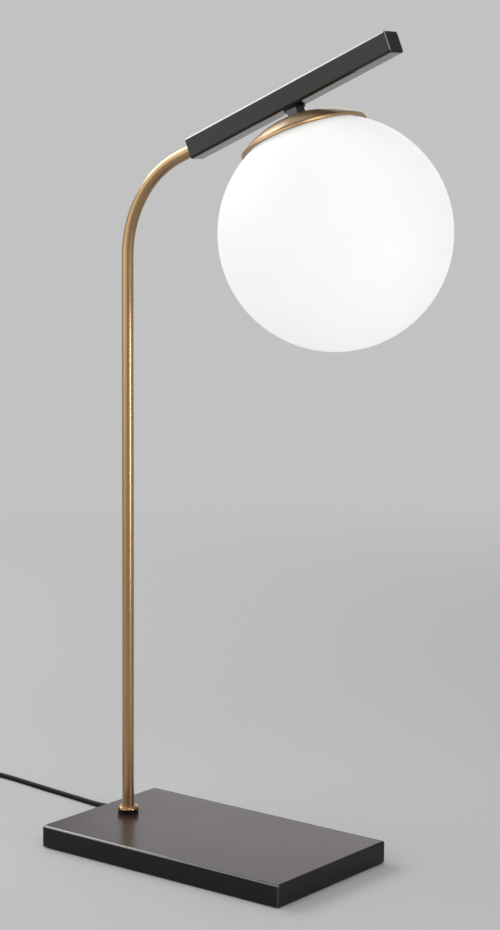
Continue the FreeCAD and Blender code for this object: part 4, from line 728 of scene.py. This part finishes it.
class Profile:
    """Line drawn in the XZ plane, by straight runs and arcs, and then spun round Z."""

    def __init__(self, x, z):
        self.shape = bmesh.new()
        self.first = self.tip = self.shape.verts.new((x, 0, z))

    def to(self, *points):
        for x, z in points:
            vert = self.shape.verts.new((x, 0, z))
            self.shape.edges.new((self.tip, vert))
            self.tip = vert
        return self

    def arc(self, centre, angle, steps):
        """Turns about the centre, anticlockwise where the angle is positive."""
        x, z = centre
        made = bmesh.ops.spin(
            self.shape, geom=[self.tip], cent=(x, 0, z), axis=-Y, angle=angle, steps=steps
        )
        self.tip = only(BMVert, made["geom_last"])[0]
        return self

    def arc_through(self, middle, end, steps):
        """Arc from the tip through the middle to the end."""
        start = Vector((self.tip.co.x, self.tip.co.z))
        centre = circle_centre(start, Vector(middle), Vector(end))
        first, last = start - centre, Vector(end) - centre
        turn = atan2(first.x * last.y - first.y * last.x, first.dot(last))
        return self.arc(centre, turn, steps)

    def closed(self):
        self.shape.edges.new((self.tip, self.first))
        return self

    def spun(self, steps):
        geometry = list(self.shape.verts) + list(self.shape.edges)
        bmesh.ops.spin(
            self.shape, geom=geometry, cent=(0, 0, 0), axis=Z, angle=2 * pi, steps=steps,
            use_merge=True,
        )
        return self.shape


def washer_shape(size, low, edge):
    """Washer with softened outer edges, from its lower face up."""
    outer, height = size
    high = low + height
    profile = Profile(BORE, low).to((outer - edge, low))
    profile.arc((outer - edge, low + edge), pi / 2, FINE_STEPS)
    profile.to((outer, high - edge)).arc((outer - edge, high - edge), pi / 2, FINE_STEPS)
    return profile.to((BORE, high)).closed().spun(WASHER_TURN)


# ---------------------------------------------------------------- base, stem and arm


def make_base():
    """Slab with rounded edges, and the cover's recess in its underside."""
    length, width = BASE_SIZE
    shape = block(around(0, length), around(0, width), (PAD_THICKNESS, BASE_TOP))
    round_along(shape, 2, BASE_CORNER, CORNER_STEPS)
    round_rim(shape, 2, BASE_TOP, BASE_EDGE, EDGE_STEPS)
    low, high = (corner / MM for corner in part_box("base_cover"))
    ranges = [(low[axis] - COVER_GAP, high[axis] + COVER_GAP) for axis in (0, 1)]
    sunk(shape, 2, PAD_THICKNESS, ranges, COVER_TOP - PAD_THICKNESS)
    even_normals(piece("base_slab", shape, "base_black", ["base_plate"]))


def make_stem():
    """Bent tube: each skin rises, bends and runs on, and their ends are joined."""
    shape = bmesh.new()
    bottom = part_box("stem_tube")[0].z / MM
    ends = []
    for radius in (STEM_RADIUS, STEM_RADIUS - STEM_WALL):
        made = bmesh.ops.create_circle(shape, radius=radius, segments=STEM_TURN)["verts"]
        bmesh.ops.translate(shape, vec=(STEM_X, 0, bottom), verts=made)
        start = edges_at(made)
        top = extruded(shape, start, Vector((0, 0, STEM_STRAIGHT - bottom)))
        bent = bmesh.ops.spin(
            shape, geom=top, cent=BEND_CENTRE, axis=Y, angle=BEND, steps=BEND_STEPS
        )["geom_last"]
        ends.append((start, extruded(shape, only(BMEdge, bent), ALONG_ARM * STEM_PAST_BEND)))
    for outer, inner in zip(*ends):
        bmesh.ops.bridge_loops(shape, edges=outer + inner)
    piece("stem", shape, "antique_brass", ["stem_tube"])


def make_foot():
    """Black washer on the base, and the brass bead on it."""
    on_base = Matrix.Translation((STEM_X, 0, BASE_TOP))
    washer = washer_shape(FOOT_WASHER, 0, FOOT_WASHER_EDGE)
    piece("foot_washer", washer, "black_nylon", ["stem_washer"], place=on_base)
    profile = Profile(BORE, 0).to(BEAD_LOW).arc_through(BEAD_BELLY, BEAD_NECK, BEAD_STEPS)
    bead = profile.to((BORE, BEAD_NECK[1])).closed().spun(BEAD_TURN)
    on_washer = Matrix.Translation((STEM_X, 0, BASE_TOP + FOOT_WASHER[1]))
    piece(
        "foot_bead", bead, "antique_brass", ["stem_collar"], place=on_washer, finish=BEAD_SHADED_BRASS
    )


def make_arm():
    """Square tube with the grub screws' holes, and its end cap."""
    half = around(0, ARM_SIDE)
    shape = block((0, ARM_LENGTH - END_CAP), half, half)
    open_ends(shape, 0)
    round_along(shape, 0, ARM_CORNER, CORNER_STEPS)
    arm = piece("arm", shape, "arm_black", ["arm_tube"], place=ON_ARM)
    give_wall(arm, "wall", ARM_WALL)
    cutter = bmesh.new()
    for x in GRUB_PLACES:
        turn = Matrix.Translation((x, ARM_SIDE / 2, 0)) @ Matrix.Rotation(pi / 2, 4, "X")
        bmesh.ops.create_cone(
            cutter, cap_ends=True, segments=SMALL_TURN, radius1=GRUB_HOLE, radius2=GRUB_HOLE,
            depth=4 * ARM_WALL, matrix=turn,
        )
    holes = piece("arm_holes", cutter, "arm_black", place=ON_ARM)
    holes.hide_render = holes.hide_viewport = True
    drilled = arm.modifiers.new("holes", "BOOLEAN")
    drilled.object = holes
    drilled.operation = "DIFFERENCE"
    even_normals(arm)
    cap = block((ARM_LENGTH - END_CAP, ARM_LENGTH), half, half)
    round_along(cap, 0, ARM_CORNER, CORNER_STEPS)
    round_rim(cap, 0, ARM_LENGTH, END_EDGE, FINE_STEPS)
    even_normals(
        piece("arm_cap", cap, "arm_black", ["arm_end_cap"], place=ON_ARM, finish=CAP_SHADED_BLACK)
    )


# ---------------------------------------------------------------- fixture and globe


def far_angle(node, place):
    """Direction of a CAD node's farthest corner round the Z axis of a placed frame."""
    back = (Matrix.Scale(MM, 4) @ place).inverted()
    points = [back @ vert.co for vert in NODES[node].data.vertices]
    far = max(points, key=lambda point: point.xy.length)
    return atan2(far.y, far.x)


def first_corner(count):
    """Turn that brings the first corner of a made prism onto the X axis."""
    probe = bmesh.new()
    bmesh.ops.create_cone(probe, segments=count, radius1=1, radius2=1, depth=1)
    vert = probe.verts[:][0]
    angle = -atan2(vert.co.y, vert.co.x)
    probe.free()
    return angle


def make_coupler():
    """Washer under the arm and the hex coupler under it, turned as the CAD one is."""
    washer = washer_shape(ARM_WASHER, -COUPLER_TOP, ARM_WASHER_EDGE)
    piece("under_washer", washer, "black_nylon", ["arm_washer"], place=ON_FIXTURE)
    shape = bmesh.new()
    corner = COUPLER_ACROSS / 2 / cos(pi / COUPLER_SIDES)
    turn = Matrix.Rotation(far_angle("hex_coupler", ON_FIXTURE), 4, "Z")
    middle = Matrix.Translation((0, 0, -COUPLER_TOP - COUPLER_HEIGHT / 2))
    bmesh.ops.create_cone(
        shape, cap_ends=True, segments=COUPLER_SIDES, radius1=corner, radius2=corner,
        depth=COUPLER_HEIGHT,
        matrix=middle @ turn @ Matrix.Rotation(first_corner(COUPLER_SIDES), 4, "Z"),
    )
    round_edges(shape, list(shape.edges), COUPLER_EDGE, FINE_STEPS)
    even_normals(
        piece(
            "coupler", shape, "arm_black", ["hex_coupler"], place=ON_FIXTURE,
            finish=COUPLER_BLACK,
        )
    )


def make_canopy():
    """Spun dome with a groove above its beaded rim."""
    wall = CANOPY_WALL
    low = -RIM_TOP + RIM_GROOVE
    mid_radius, mid_drop = CANOPY_MID
    profile = Profile(BORE, -CANOPY_TOP).to((CANOPY_FLAT, -CANOPY_TOP))
    mid = (mid_radius, -CANOPY_TOP - mid_drop)
    profile.arc_through(mid, (CANOPY_SHOULDER, low), CANOPY_STEPS)
    profile.to((CANOPY_SHOULDER, -RIM_TOP), (RIM_RADIUS - RIM_EDGE, -RIM_TOP))
    profile.arc((RIM_RADIUS - RIM_EDGE, -RIM_TOP - RIM_EDGE), -pi / 2, EDGE_STEPS)
    profile.to((RIM_RADIUS, -RIM_BOTTOM + RIM_EDGE))
    profile.arc((RIM_RADIUS - RIM_EDGE, -RIM_BOTTOM + RIM_EDGE), -pi / 2, EDGE_STEPS)
    profile.to((RIM_LIP, -RIM_BOTTOM), (RIM_LIP, -RIM_BOTTOM + wall))
    profile.to((RIM_RADIUS - wall, -RIM_BOTTOM + wall), (RIM_RADIUS - wall, -RIM_TOP - wall))
    profile.to((CANOPY_SHOULDER - wall, -RIM_TOP - wall), (CANOPY_SHOULDER - wall, low))
    mid = (mid_radius, -CANOPY_TOP - mid_drop - wall)
    profile.arc_through(mid, (CANOPY_FLAT, -CANOPY_TOP - wall), CANOPY_STEPS)
    shape = profile.to((BORE, -CANOPY_TOP - wall)).closed().spun(WIDE_TURN)
    piece(
        "canopy_spun", shape, "antique_brass", ["canopy"], place=ON_FIXTURE, finish=CANOPY_BRASS
    )


def make_globe():
    """Hollow ball with its mouth upwards, drawn from the mouth to the bottom on both skins."""
    inner = GLOBE_RADIUS - GLOBE_WALL
    outer_angle = atan2(sqrt(GLOBE_RADIUS**2 - GLOBE_MOUTH**2), GLOBE_MOUTH)
    inner_angle = atan2(sqrt(inner**2 - GLOBE_MOUTH**2), GLOBE_MOUTH)
    centre = (0, -GLOBE_DROP)
    profile = Profile(GLOBE_MOUTH, -GLOBE_DROP + GLOBE_RADIUS * sin(outer_angle))
    profile.arc(centre, -outer_angle - pi / 2, GLOBE_STEPS)
    outer_tip = profile.tip
    profile.tip = profile.first
    profile.to((GLOBE_MOUTH, -GLOBE_DROP + inner * sin(inner_angle)))
    profile.arc(centre, -inner_angle - pi / 2, GLOBE_STEPS)
    for tip in (outer_tip, profile.tip):
        tip.co.x = 0
    shape = profile.spun(WIDE_TURN)
    piece("globe_ball", shape, "opal_glass", ["globe"], "globe_body", place=ON_FIXTURE)


# ---------------------------------------------------------------- the lead

LEAD_ROUTE = [
    (-112.0, 39.5, 6.0),
    (-134.0, 39.5, 6.0),
    (-158.0, 42.6, 2.2),
    (-190.0, 46.4, 2.2),
    (-238.0, 51.6, 2.2),
    (-292.0, 58.3, 2.2),
    (-346.0, 57.4, 2.2),
    (-372.0, 34.0, 2.2),
    (-375.5, 3.0, 2.2),
    (-358.0, -18.0, 6.0),
    (-332.0, -18.0, 6.0),
]
LINK_ROUTE = [
    (-280.0, -18.0, 6.0),
    (-256.0, -18.0, 6.0),
    (-239.5, -36.0, 3.4),
    (-241.4, -58.0, 3.2),
]
TAIL_ROUTE = [(-274.0, -94.5, 7.6), (-295.0, -96.0, 6.85), (-316.0, -96.0, 6.85)]

# Column and row of each turn of the coil, in the order in which they are wound
COIL_SLOTS = [(2, 0), (1, 0), (0, 0), (0, 1), (1, 1), (0, 2), (1, 2), (2, 2), (2, 1)]


def coil_points():
    """Loop points of the coil, clockwise, slot after slot."""
    points = []
    last_turn = (len(COIL_SLOTS) - 1) * TURN_POINTS
    # The curve passes inside its points: 6/8 of one and 1/8 of each of its neighbours
    swell = 8 / (6 + 2 * cos(2 * pi / TURN_POINTS))
    for index in range(last_turn + round(TURN_POINTS * LAST_TURN_SHARE)):
        slot, step = divmod(index, TURN_POINTS)
        share = max(0.0, (step - TURN_POINTS + RISE_POINTS) / RISE_POINTS)
        ahead = COIL_SLOTS[min(slot + 1, len(COIL_SLOTS) - 1)]
        column, row = (now + (then - now) * share for now, then in zip(COIL_SLOTS[slot], ahead))
        radius = (COIL_INNER + CORD_STEP * column) * swell
        angle = -2 * pi * index / TURN_POINTS
        x, y = COIL_CENTRE
        height = COIL_LOW + CORD_STEP * row
        points.append((x + radius * cos(angle), y + radius * sin(angle), height))
    return points


def make_cord(name, points, nodes):
    """Round cord on one smooth curve that starts and ends at the first and last point."""
    curve = bpy.data.curves.new(name, "CURVE")
    curve.dimensions = "3D"
    spline = curve.splines.new("NURBS")
    spline.points.add(len(points) - 1)
    for point, place in zip(spline.points, points):
        point.co = (*(Vector(place) * MM), 1)
    spline.order_u = 3
    spline.use_endpoint_u = True
    spline.resolution_u = 6
    curve.bevel_depth = CORD_RADIUS * MM
    curve.bevel_resolution = 5
    curve.use_fill_caps = True
    curve.materials.append(FINISHES["cord_black"].material)
    cord = new_object(name, curve)
    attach(cord, "root")
    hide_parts(*nodes)
    return cord


def middle_line(cord):
    """Points of a cord's own centre line, in millimetres."""
    bare = bpy.data.objects.new("bare", cord.data.copy())
    bare.data.bevel_depth = 0
    mesh = bpy.data.meshes.new_from_object(bare)
    points = [vert.co / MM for vert in mesh.vertices]
    bpy.data.meshes.remove(mesh)
    bpy.data.curves.remove(bare.data)
    return points


def point_along(line, distance):
    """Point at a distance along a line of points, and its direction there."""
    for first, second in zip(line, line[1:]):
        step = (second - first).length
        if distance <= step:
            return first + (second - first) * (distance / step), (second - first).normalized()
        distance -= step
    return line[-1], (line[-1] - line[-2]).normalized()


def relief_rings():
    """Distance along the lead and radius of each ring of the strain relief."""
    rings = [(0, RELIEF_FLANGE[1]), RELIEF_FLANGE]
    for start, (stop, radius) in zip((RELIEF_FLANGE, RELIEF_NECK), (RELIEF_NECK, RELIEF_STOP)):
        rings += [(start[0], radius), (stop, radius)]
    ribbed = RELIEF_STOP[0]
    rings.append((ribbed, RELIEF_THICK))
    start = RIB_START
    while start + RIB_PITCH < RELIEF_LENGTH:
        share = (start - ribbed) / (RELIEF_LENGTH - ribbed)
        thick = RELIEF_THICK - RELIEF_TAPER * share
        thin = thick - RIB_FALL
        rings += [(start, thick), (start, thick - RIB_DEPTH)]
        rings += [(start + RIB_GAP, thin - RIB_DEPTH), (start + RIB_GAP, thin)]
        start += RIB_PITCH
    return rings + [(RELIEF_LENGTH, RELIEF_TIP), (RELIEF_LENGTH, RELIEF_BORE)]


def make_relief(line):
    """Tapered strain relief that follows the lead's own line, with grooves between its ribs."""
    shape = bmesh.new()
    loops = []
    for along, radius in relief_rings():
        place, direction = point_along(line, along)
        turn = direction.to_track_quat("Z", "Y").to_matrix().to_4x4()
        made = bmesh.ops.create_circle(
            shape, radius=radius, segments=SMALL_TURN, matrix=Matrix.Translation(place) @ turn
        )
        loops.append(edges_at(made["verts"]))
    for first, second in zip(loops, loops[1:]):
        bmesh.ops.bridge_loops(shape, edges=first + second)
    bmesh.ops.holes_fill(shape, edges=loops[0] + loops[-1], sides=0)
    return piece("lead_relief", shape, "black_rubber", ["cord_strain_relief"])


def make_tie():
    """Strap round the coil's nine turns, which lie three by three."""
    outer = 2 * (3 * CORD_RADIUS + TIE_GAP + TIE_THICKNESS)
    mean, middle = COIL_INNER + CORD_STEP, COIL_LOW + CORD_STEP
    shape = block(around(mean, outer), around(0, TIE_WIDTH), around(middle, outer))
    open_ends(shape, 1)
    round_along(shape, 1, TIE_CORNER, CORNER_STEPS)
    place = Matrix.Translation((*COIL_CENTRE, 0)) @ Matrix.Rotation(TIE_ANGLE, 4, "Z")
    tie = piece("lead_tie", shape, "black_rubber", ["coil_tie"], place=place)
    give_wall(tie, "strap", TIE_THICKNESS)
    return even_normals(tie)


def make_case():
    """Upper half of the switch's case, with the rocker's window."""
    length, width, height = SWITCH_SIZE
    on_table = Matrix.Translation((SWITCH_CENTRE.x, SWITCH_CENTRE.y, 0))
    shape = block(around(0, length), around(0, width), (SWITCH_SPLIT, height))
    round_along(shape, 2, SWITCH_CORNER, CASE_STEPS)
    round_rim(shape, 2, height, SWITCH_EDGE, EDGE_STEPS)
    round_rim(shape, 2, SWITCH_SPLIT, SPLIT_EDGE, 1)
    sunk(shape, 2, height, [around(0, size) for size in WINDOW[:2]], -WINDOW[2])
    return even_normals(
        piece("switch_top", shape, "switch_black", ["switch_case_upper"], place=on_table)
    )


def make_rocker():
    """Rocker with a hollow between its two slopes, and the marks on them."""
    length, width = ROCKER
    half = length / 2
    rise = half * tan(ROCKER_TILT)
    outline = [
        (-half, -ROCKER_BELLY),
        (half, -ROCKER_BELLY),
        (half, ROCKER_CROWN + rise),
        (0, ROCKER_CROWN),
        (-half, ROCKER_CROWN + rise),
    ]
    shape = prism([(x, -width / 2, z) for x, z in outline], (0, width, 0))
    high = [edge for edge in shape.edges if max(vert.co.z for vert in edge.verts) > 0]
    round_edges(shape, high, ROCKER_EDGE, FINE_STEPS)
    tilted = Matrix.Translation(SWITCH_CENTRE) @ Matrix.Rotation(ROCKER_TILT, 4, "Y")
    rocker = even_normals(
        piece("rocker", shape, "rocker_black", ["switch_rocker"], "rocker_body", place=tilted)
    )
    slope = atan2(rise, half)
    marks = bmesh.new()
    stroke = block(*(around(0, size) for size in LINE_MARK), marks)
    on_slope = on_rocker(-half / 2, rise / 2, slope)
    bmesh.ops.transform(marks, matrix=on_slope, verts=list(stroke.verts))
    ring = []
    for radius in RING_MARK:
        ring += bmesh.ops.create_circle(marks, radius=radius, segments=SMALL_TURN)["verts"]
    bmesh.ops.bridge_loops(marks, edges=edges_at(ring))
    bmesh.ops.transform(marks, matrix=on_rocker(half / 2, rise / 2, -slope), verts=ring)
    signs = piece(
        "rocker_marks", marks, "rocker_black", (), "rocker_body", place=tilted,
        finish=MARK_WHITE,
    )
    return [rocker, signs]


def on_rocker(x, lift, slope):
    """Place of a mark on one slope of the rocker's top."""
    place = Matrix.Translation((x, 0, ROCKER_CROWN + lift + MARK_LIFT))
    return place @ Matrix.Rotation(slope, 4, "Y")


def make_switch():
    """Every piece of the inline switch, the CAD's own ones with it."""
    inside = ("switch_case_lower", "switch_contacts", "switch_cord_saddles", "switch_screws")
    return [make_case(), *make_rocker(), *(NODES[name] for name in inside)]


def make_plug():
    """Flat plug's body, wide at its face, with grip grooves pressed in behind it."""
    face, shoulder = -PLUG_LENGTH, PLUG_FACE - PLUG_LENGTH
    half, rear = PLUG_WIDTH / 2, PLUG_REAR / 2
    outline = [
        (face, -half), (shoulder, -half), (0, -rear), (0, rear), (shoulder, half), (face, half)
    ]
    shape = prism([(x, y, 0) for x, y in outline], (0, 0, PLUG_THICKNESS))
    round_along(shape, 2, PLUG_CORNER, CORNER_STEPS)
    for height in (0, PLUG_THICKNESS):
        round_rim(shape, 2, height, PLUG_EDGE, EDGE_STEPS)
    to_middle = Matrix.Translation((0, 0, -PLUG_THICKNESS / 2))
    for place in GRIP_GROOVES:
        for offset in (-GROOVE_SLOPE, 0, GROOVE_SLOPE):
            cut(shape, [*shape.verts, *shape.edges, *shape.faces], 0, place + offset)
        groove = [vert for vert in shape.verts if abs(vert.co.x - place) < GROOVE_WITHIN]
        bmesh.ops.scale(shape, vec=GROOVE_SQUEEZE, verts=groove, space=to_middle)
    on_table = Matrix.Translation((*PLUG_PLACE, 0))
    return even_normals(piece("plug", shape, "plug_black", ["plug_body"], place=on_table))


def make_leads():
    """The lead to the switch, and the lead through the coil to the plug."""
    first = make_cord("lead_to_switch", LEAD_ROUTE, ["cord_lead"])
    points = LINK_ROUTE + coil_points() + TAIL_ROUTE
    second = make_cord("lead_to_plug", points, ["cord_link", "cord_coil", "cord_tail"])
    relief = make_relief(middle_line(first))
    tie = make_tie()
    switch = make_switch()
    plug = make_plug()


make_leads()
make_base()
make_stem()
make_foot()
make_arm()
make_coupler()
make_canopy()
make_globe()

# ---------------------------------------------------------------- surroundings

SHEET_TONE = (0.54, 0.54, 0.54, 1)
ROOM_TONE = (0.22, 0.22, 0.225, 1)
FLOOR_TONE = (0.56, 0.56, 0.56, 1)
FLOOR_RADIUS = 14.0
FLOOR_TURN = 96
FLOOR_FADE = (0.6, 2.0)
LIGHT_TARGET = (0, 0, 0.35)
KEY_TARGET = (0, 0, 0.31)
SEEN_BY = ("Is Camera Ray", "Is Glossy Ray", "Is Transmission Ray")


def make_floor():
    """Wide pale floor that keeps the lamp's shadow and fades into the background."""
    shape = bmesh.new()
    bmesh.ops.create_circle(shape, cap_ends=True, segments=FLOOR_TURN, radius=FLOOR_RADIUS)
    mesh = bpy.data.meshes.new("floor")
    shape.to_mesh(mesh)
    shape.free()
    floor = new_object("floor", mesh)
    finish = Finish(
        "floor_sheet", Roughness=0.9, Base_Color=FLOOR_TONE, Specular_IOR_Level=0.1
    )
    camera, glossy, through = (finish.add("ShaderNodeLightPath", output=ray) for ray in SEEN_BY)
    tone = finish.blend(camera + glossy + through, ROOM_TONE, SHEET_TONE)
    far = finish.add("ShaderNodeEmission", {}, {"Color": tone})
    near = Signal(finish, finish.shader.outputs["BSDF"])
    reach = finish.on_vectors("LENGTH", finish.place, output="Value")
    sheet = finish.blend_shaders(finish.ramp(reach, *FLOOR_FADE), near, far)
    finish.link(sheet, finish.tree.nodes["Material Output"].inputs["Surface"])
    mesh.materials.append(finish.material)


def make_world():
    """Even surroundings: one tone to look at and in reflections, a quieter one as light."""
    world = bpy.data.worlds.new("surroundings")
    bpy.context.scene.world = world
    world.use_nodes = True
    shaders = ShaderTree(world.node_tree)
    room = shaders.tree.nodes["Background"]
    room.inputs["Color"].default_value = ROOM_TONE
    sheet = shaders.add("ShaderNodeBackground", {}, {"Color": SHEET_TONE})
    shown = Signal(shaders, room.outputs["Background"])
    for ray in SEEN_BY:
        share = shaders.add("ShaderNodeLightPath", output=ray)
        shown = shaders.blend_shaders(share, shown, sheet)
    shaders.link(shown, shaders.tree.nodes["World Output"].inputs["Surface"])


def softbox(name, azimuth, height, distance, size, power, target=LIGHT_TARGET, spread=180):
    """Large soft light at an azimuth round the lamp; 0 is in front of its long side."""
    data = bpy.data.lights.new(name, "AREA")
    data.spread = radians(spread)
    data.shape = "RECTANGLE"
    data.size, data.size_y = size
    data.energy = power
    light = new_object(name, data)
    turn = radians(azimuth)
    place = Vector((sin(turn) * distance, -cos(turn) * distance, height))
    look = (Vector(target) - place).to_track_quat("-Z", "Y")
    light.matrix_world = Matrix.Translation(place) @ look.to_matrix().to_4x4()
    light.visible_camera = False


make_floor()
make_world()
softbox(
    "key", azimuth=89, height=0.29, distance=1.15, size=(0.34, 0.5), power=0.66,
    target=KEY_TARGET, spread=70,
)
softbox("front_high", azimuth=56, height=1.9, distance=2.0, size=(1.2, 1.2), power=13)
softbox("upper_left", azimuth=268, height=1.5, distance=1.8, size=(2.0, 1.0), power=23)
softbox("fill", azimuth=-22, height=1.0, distance=2.3, size=(3.6, 2.2), power=29)
softbox("overhead", azimuth=0, height=2.4, distance=0.01, size=(1.6, 1.6), power=12)
softbox("behind", azimuth=208, height=0.8, distance=2.6, size=(1.5, 1.6), power=5.7)

scene = bpy.context.scene
scene.view_settings.view_transform = "Standard"
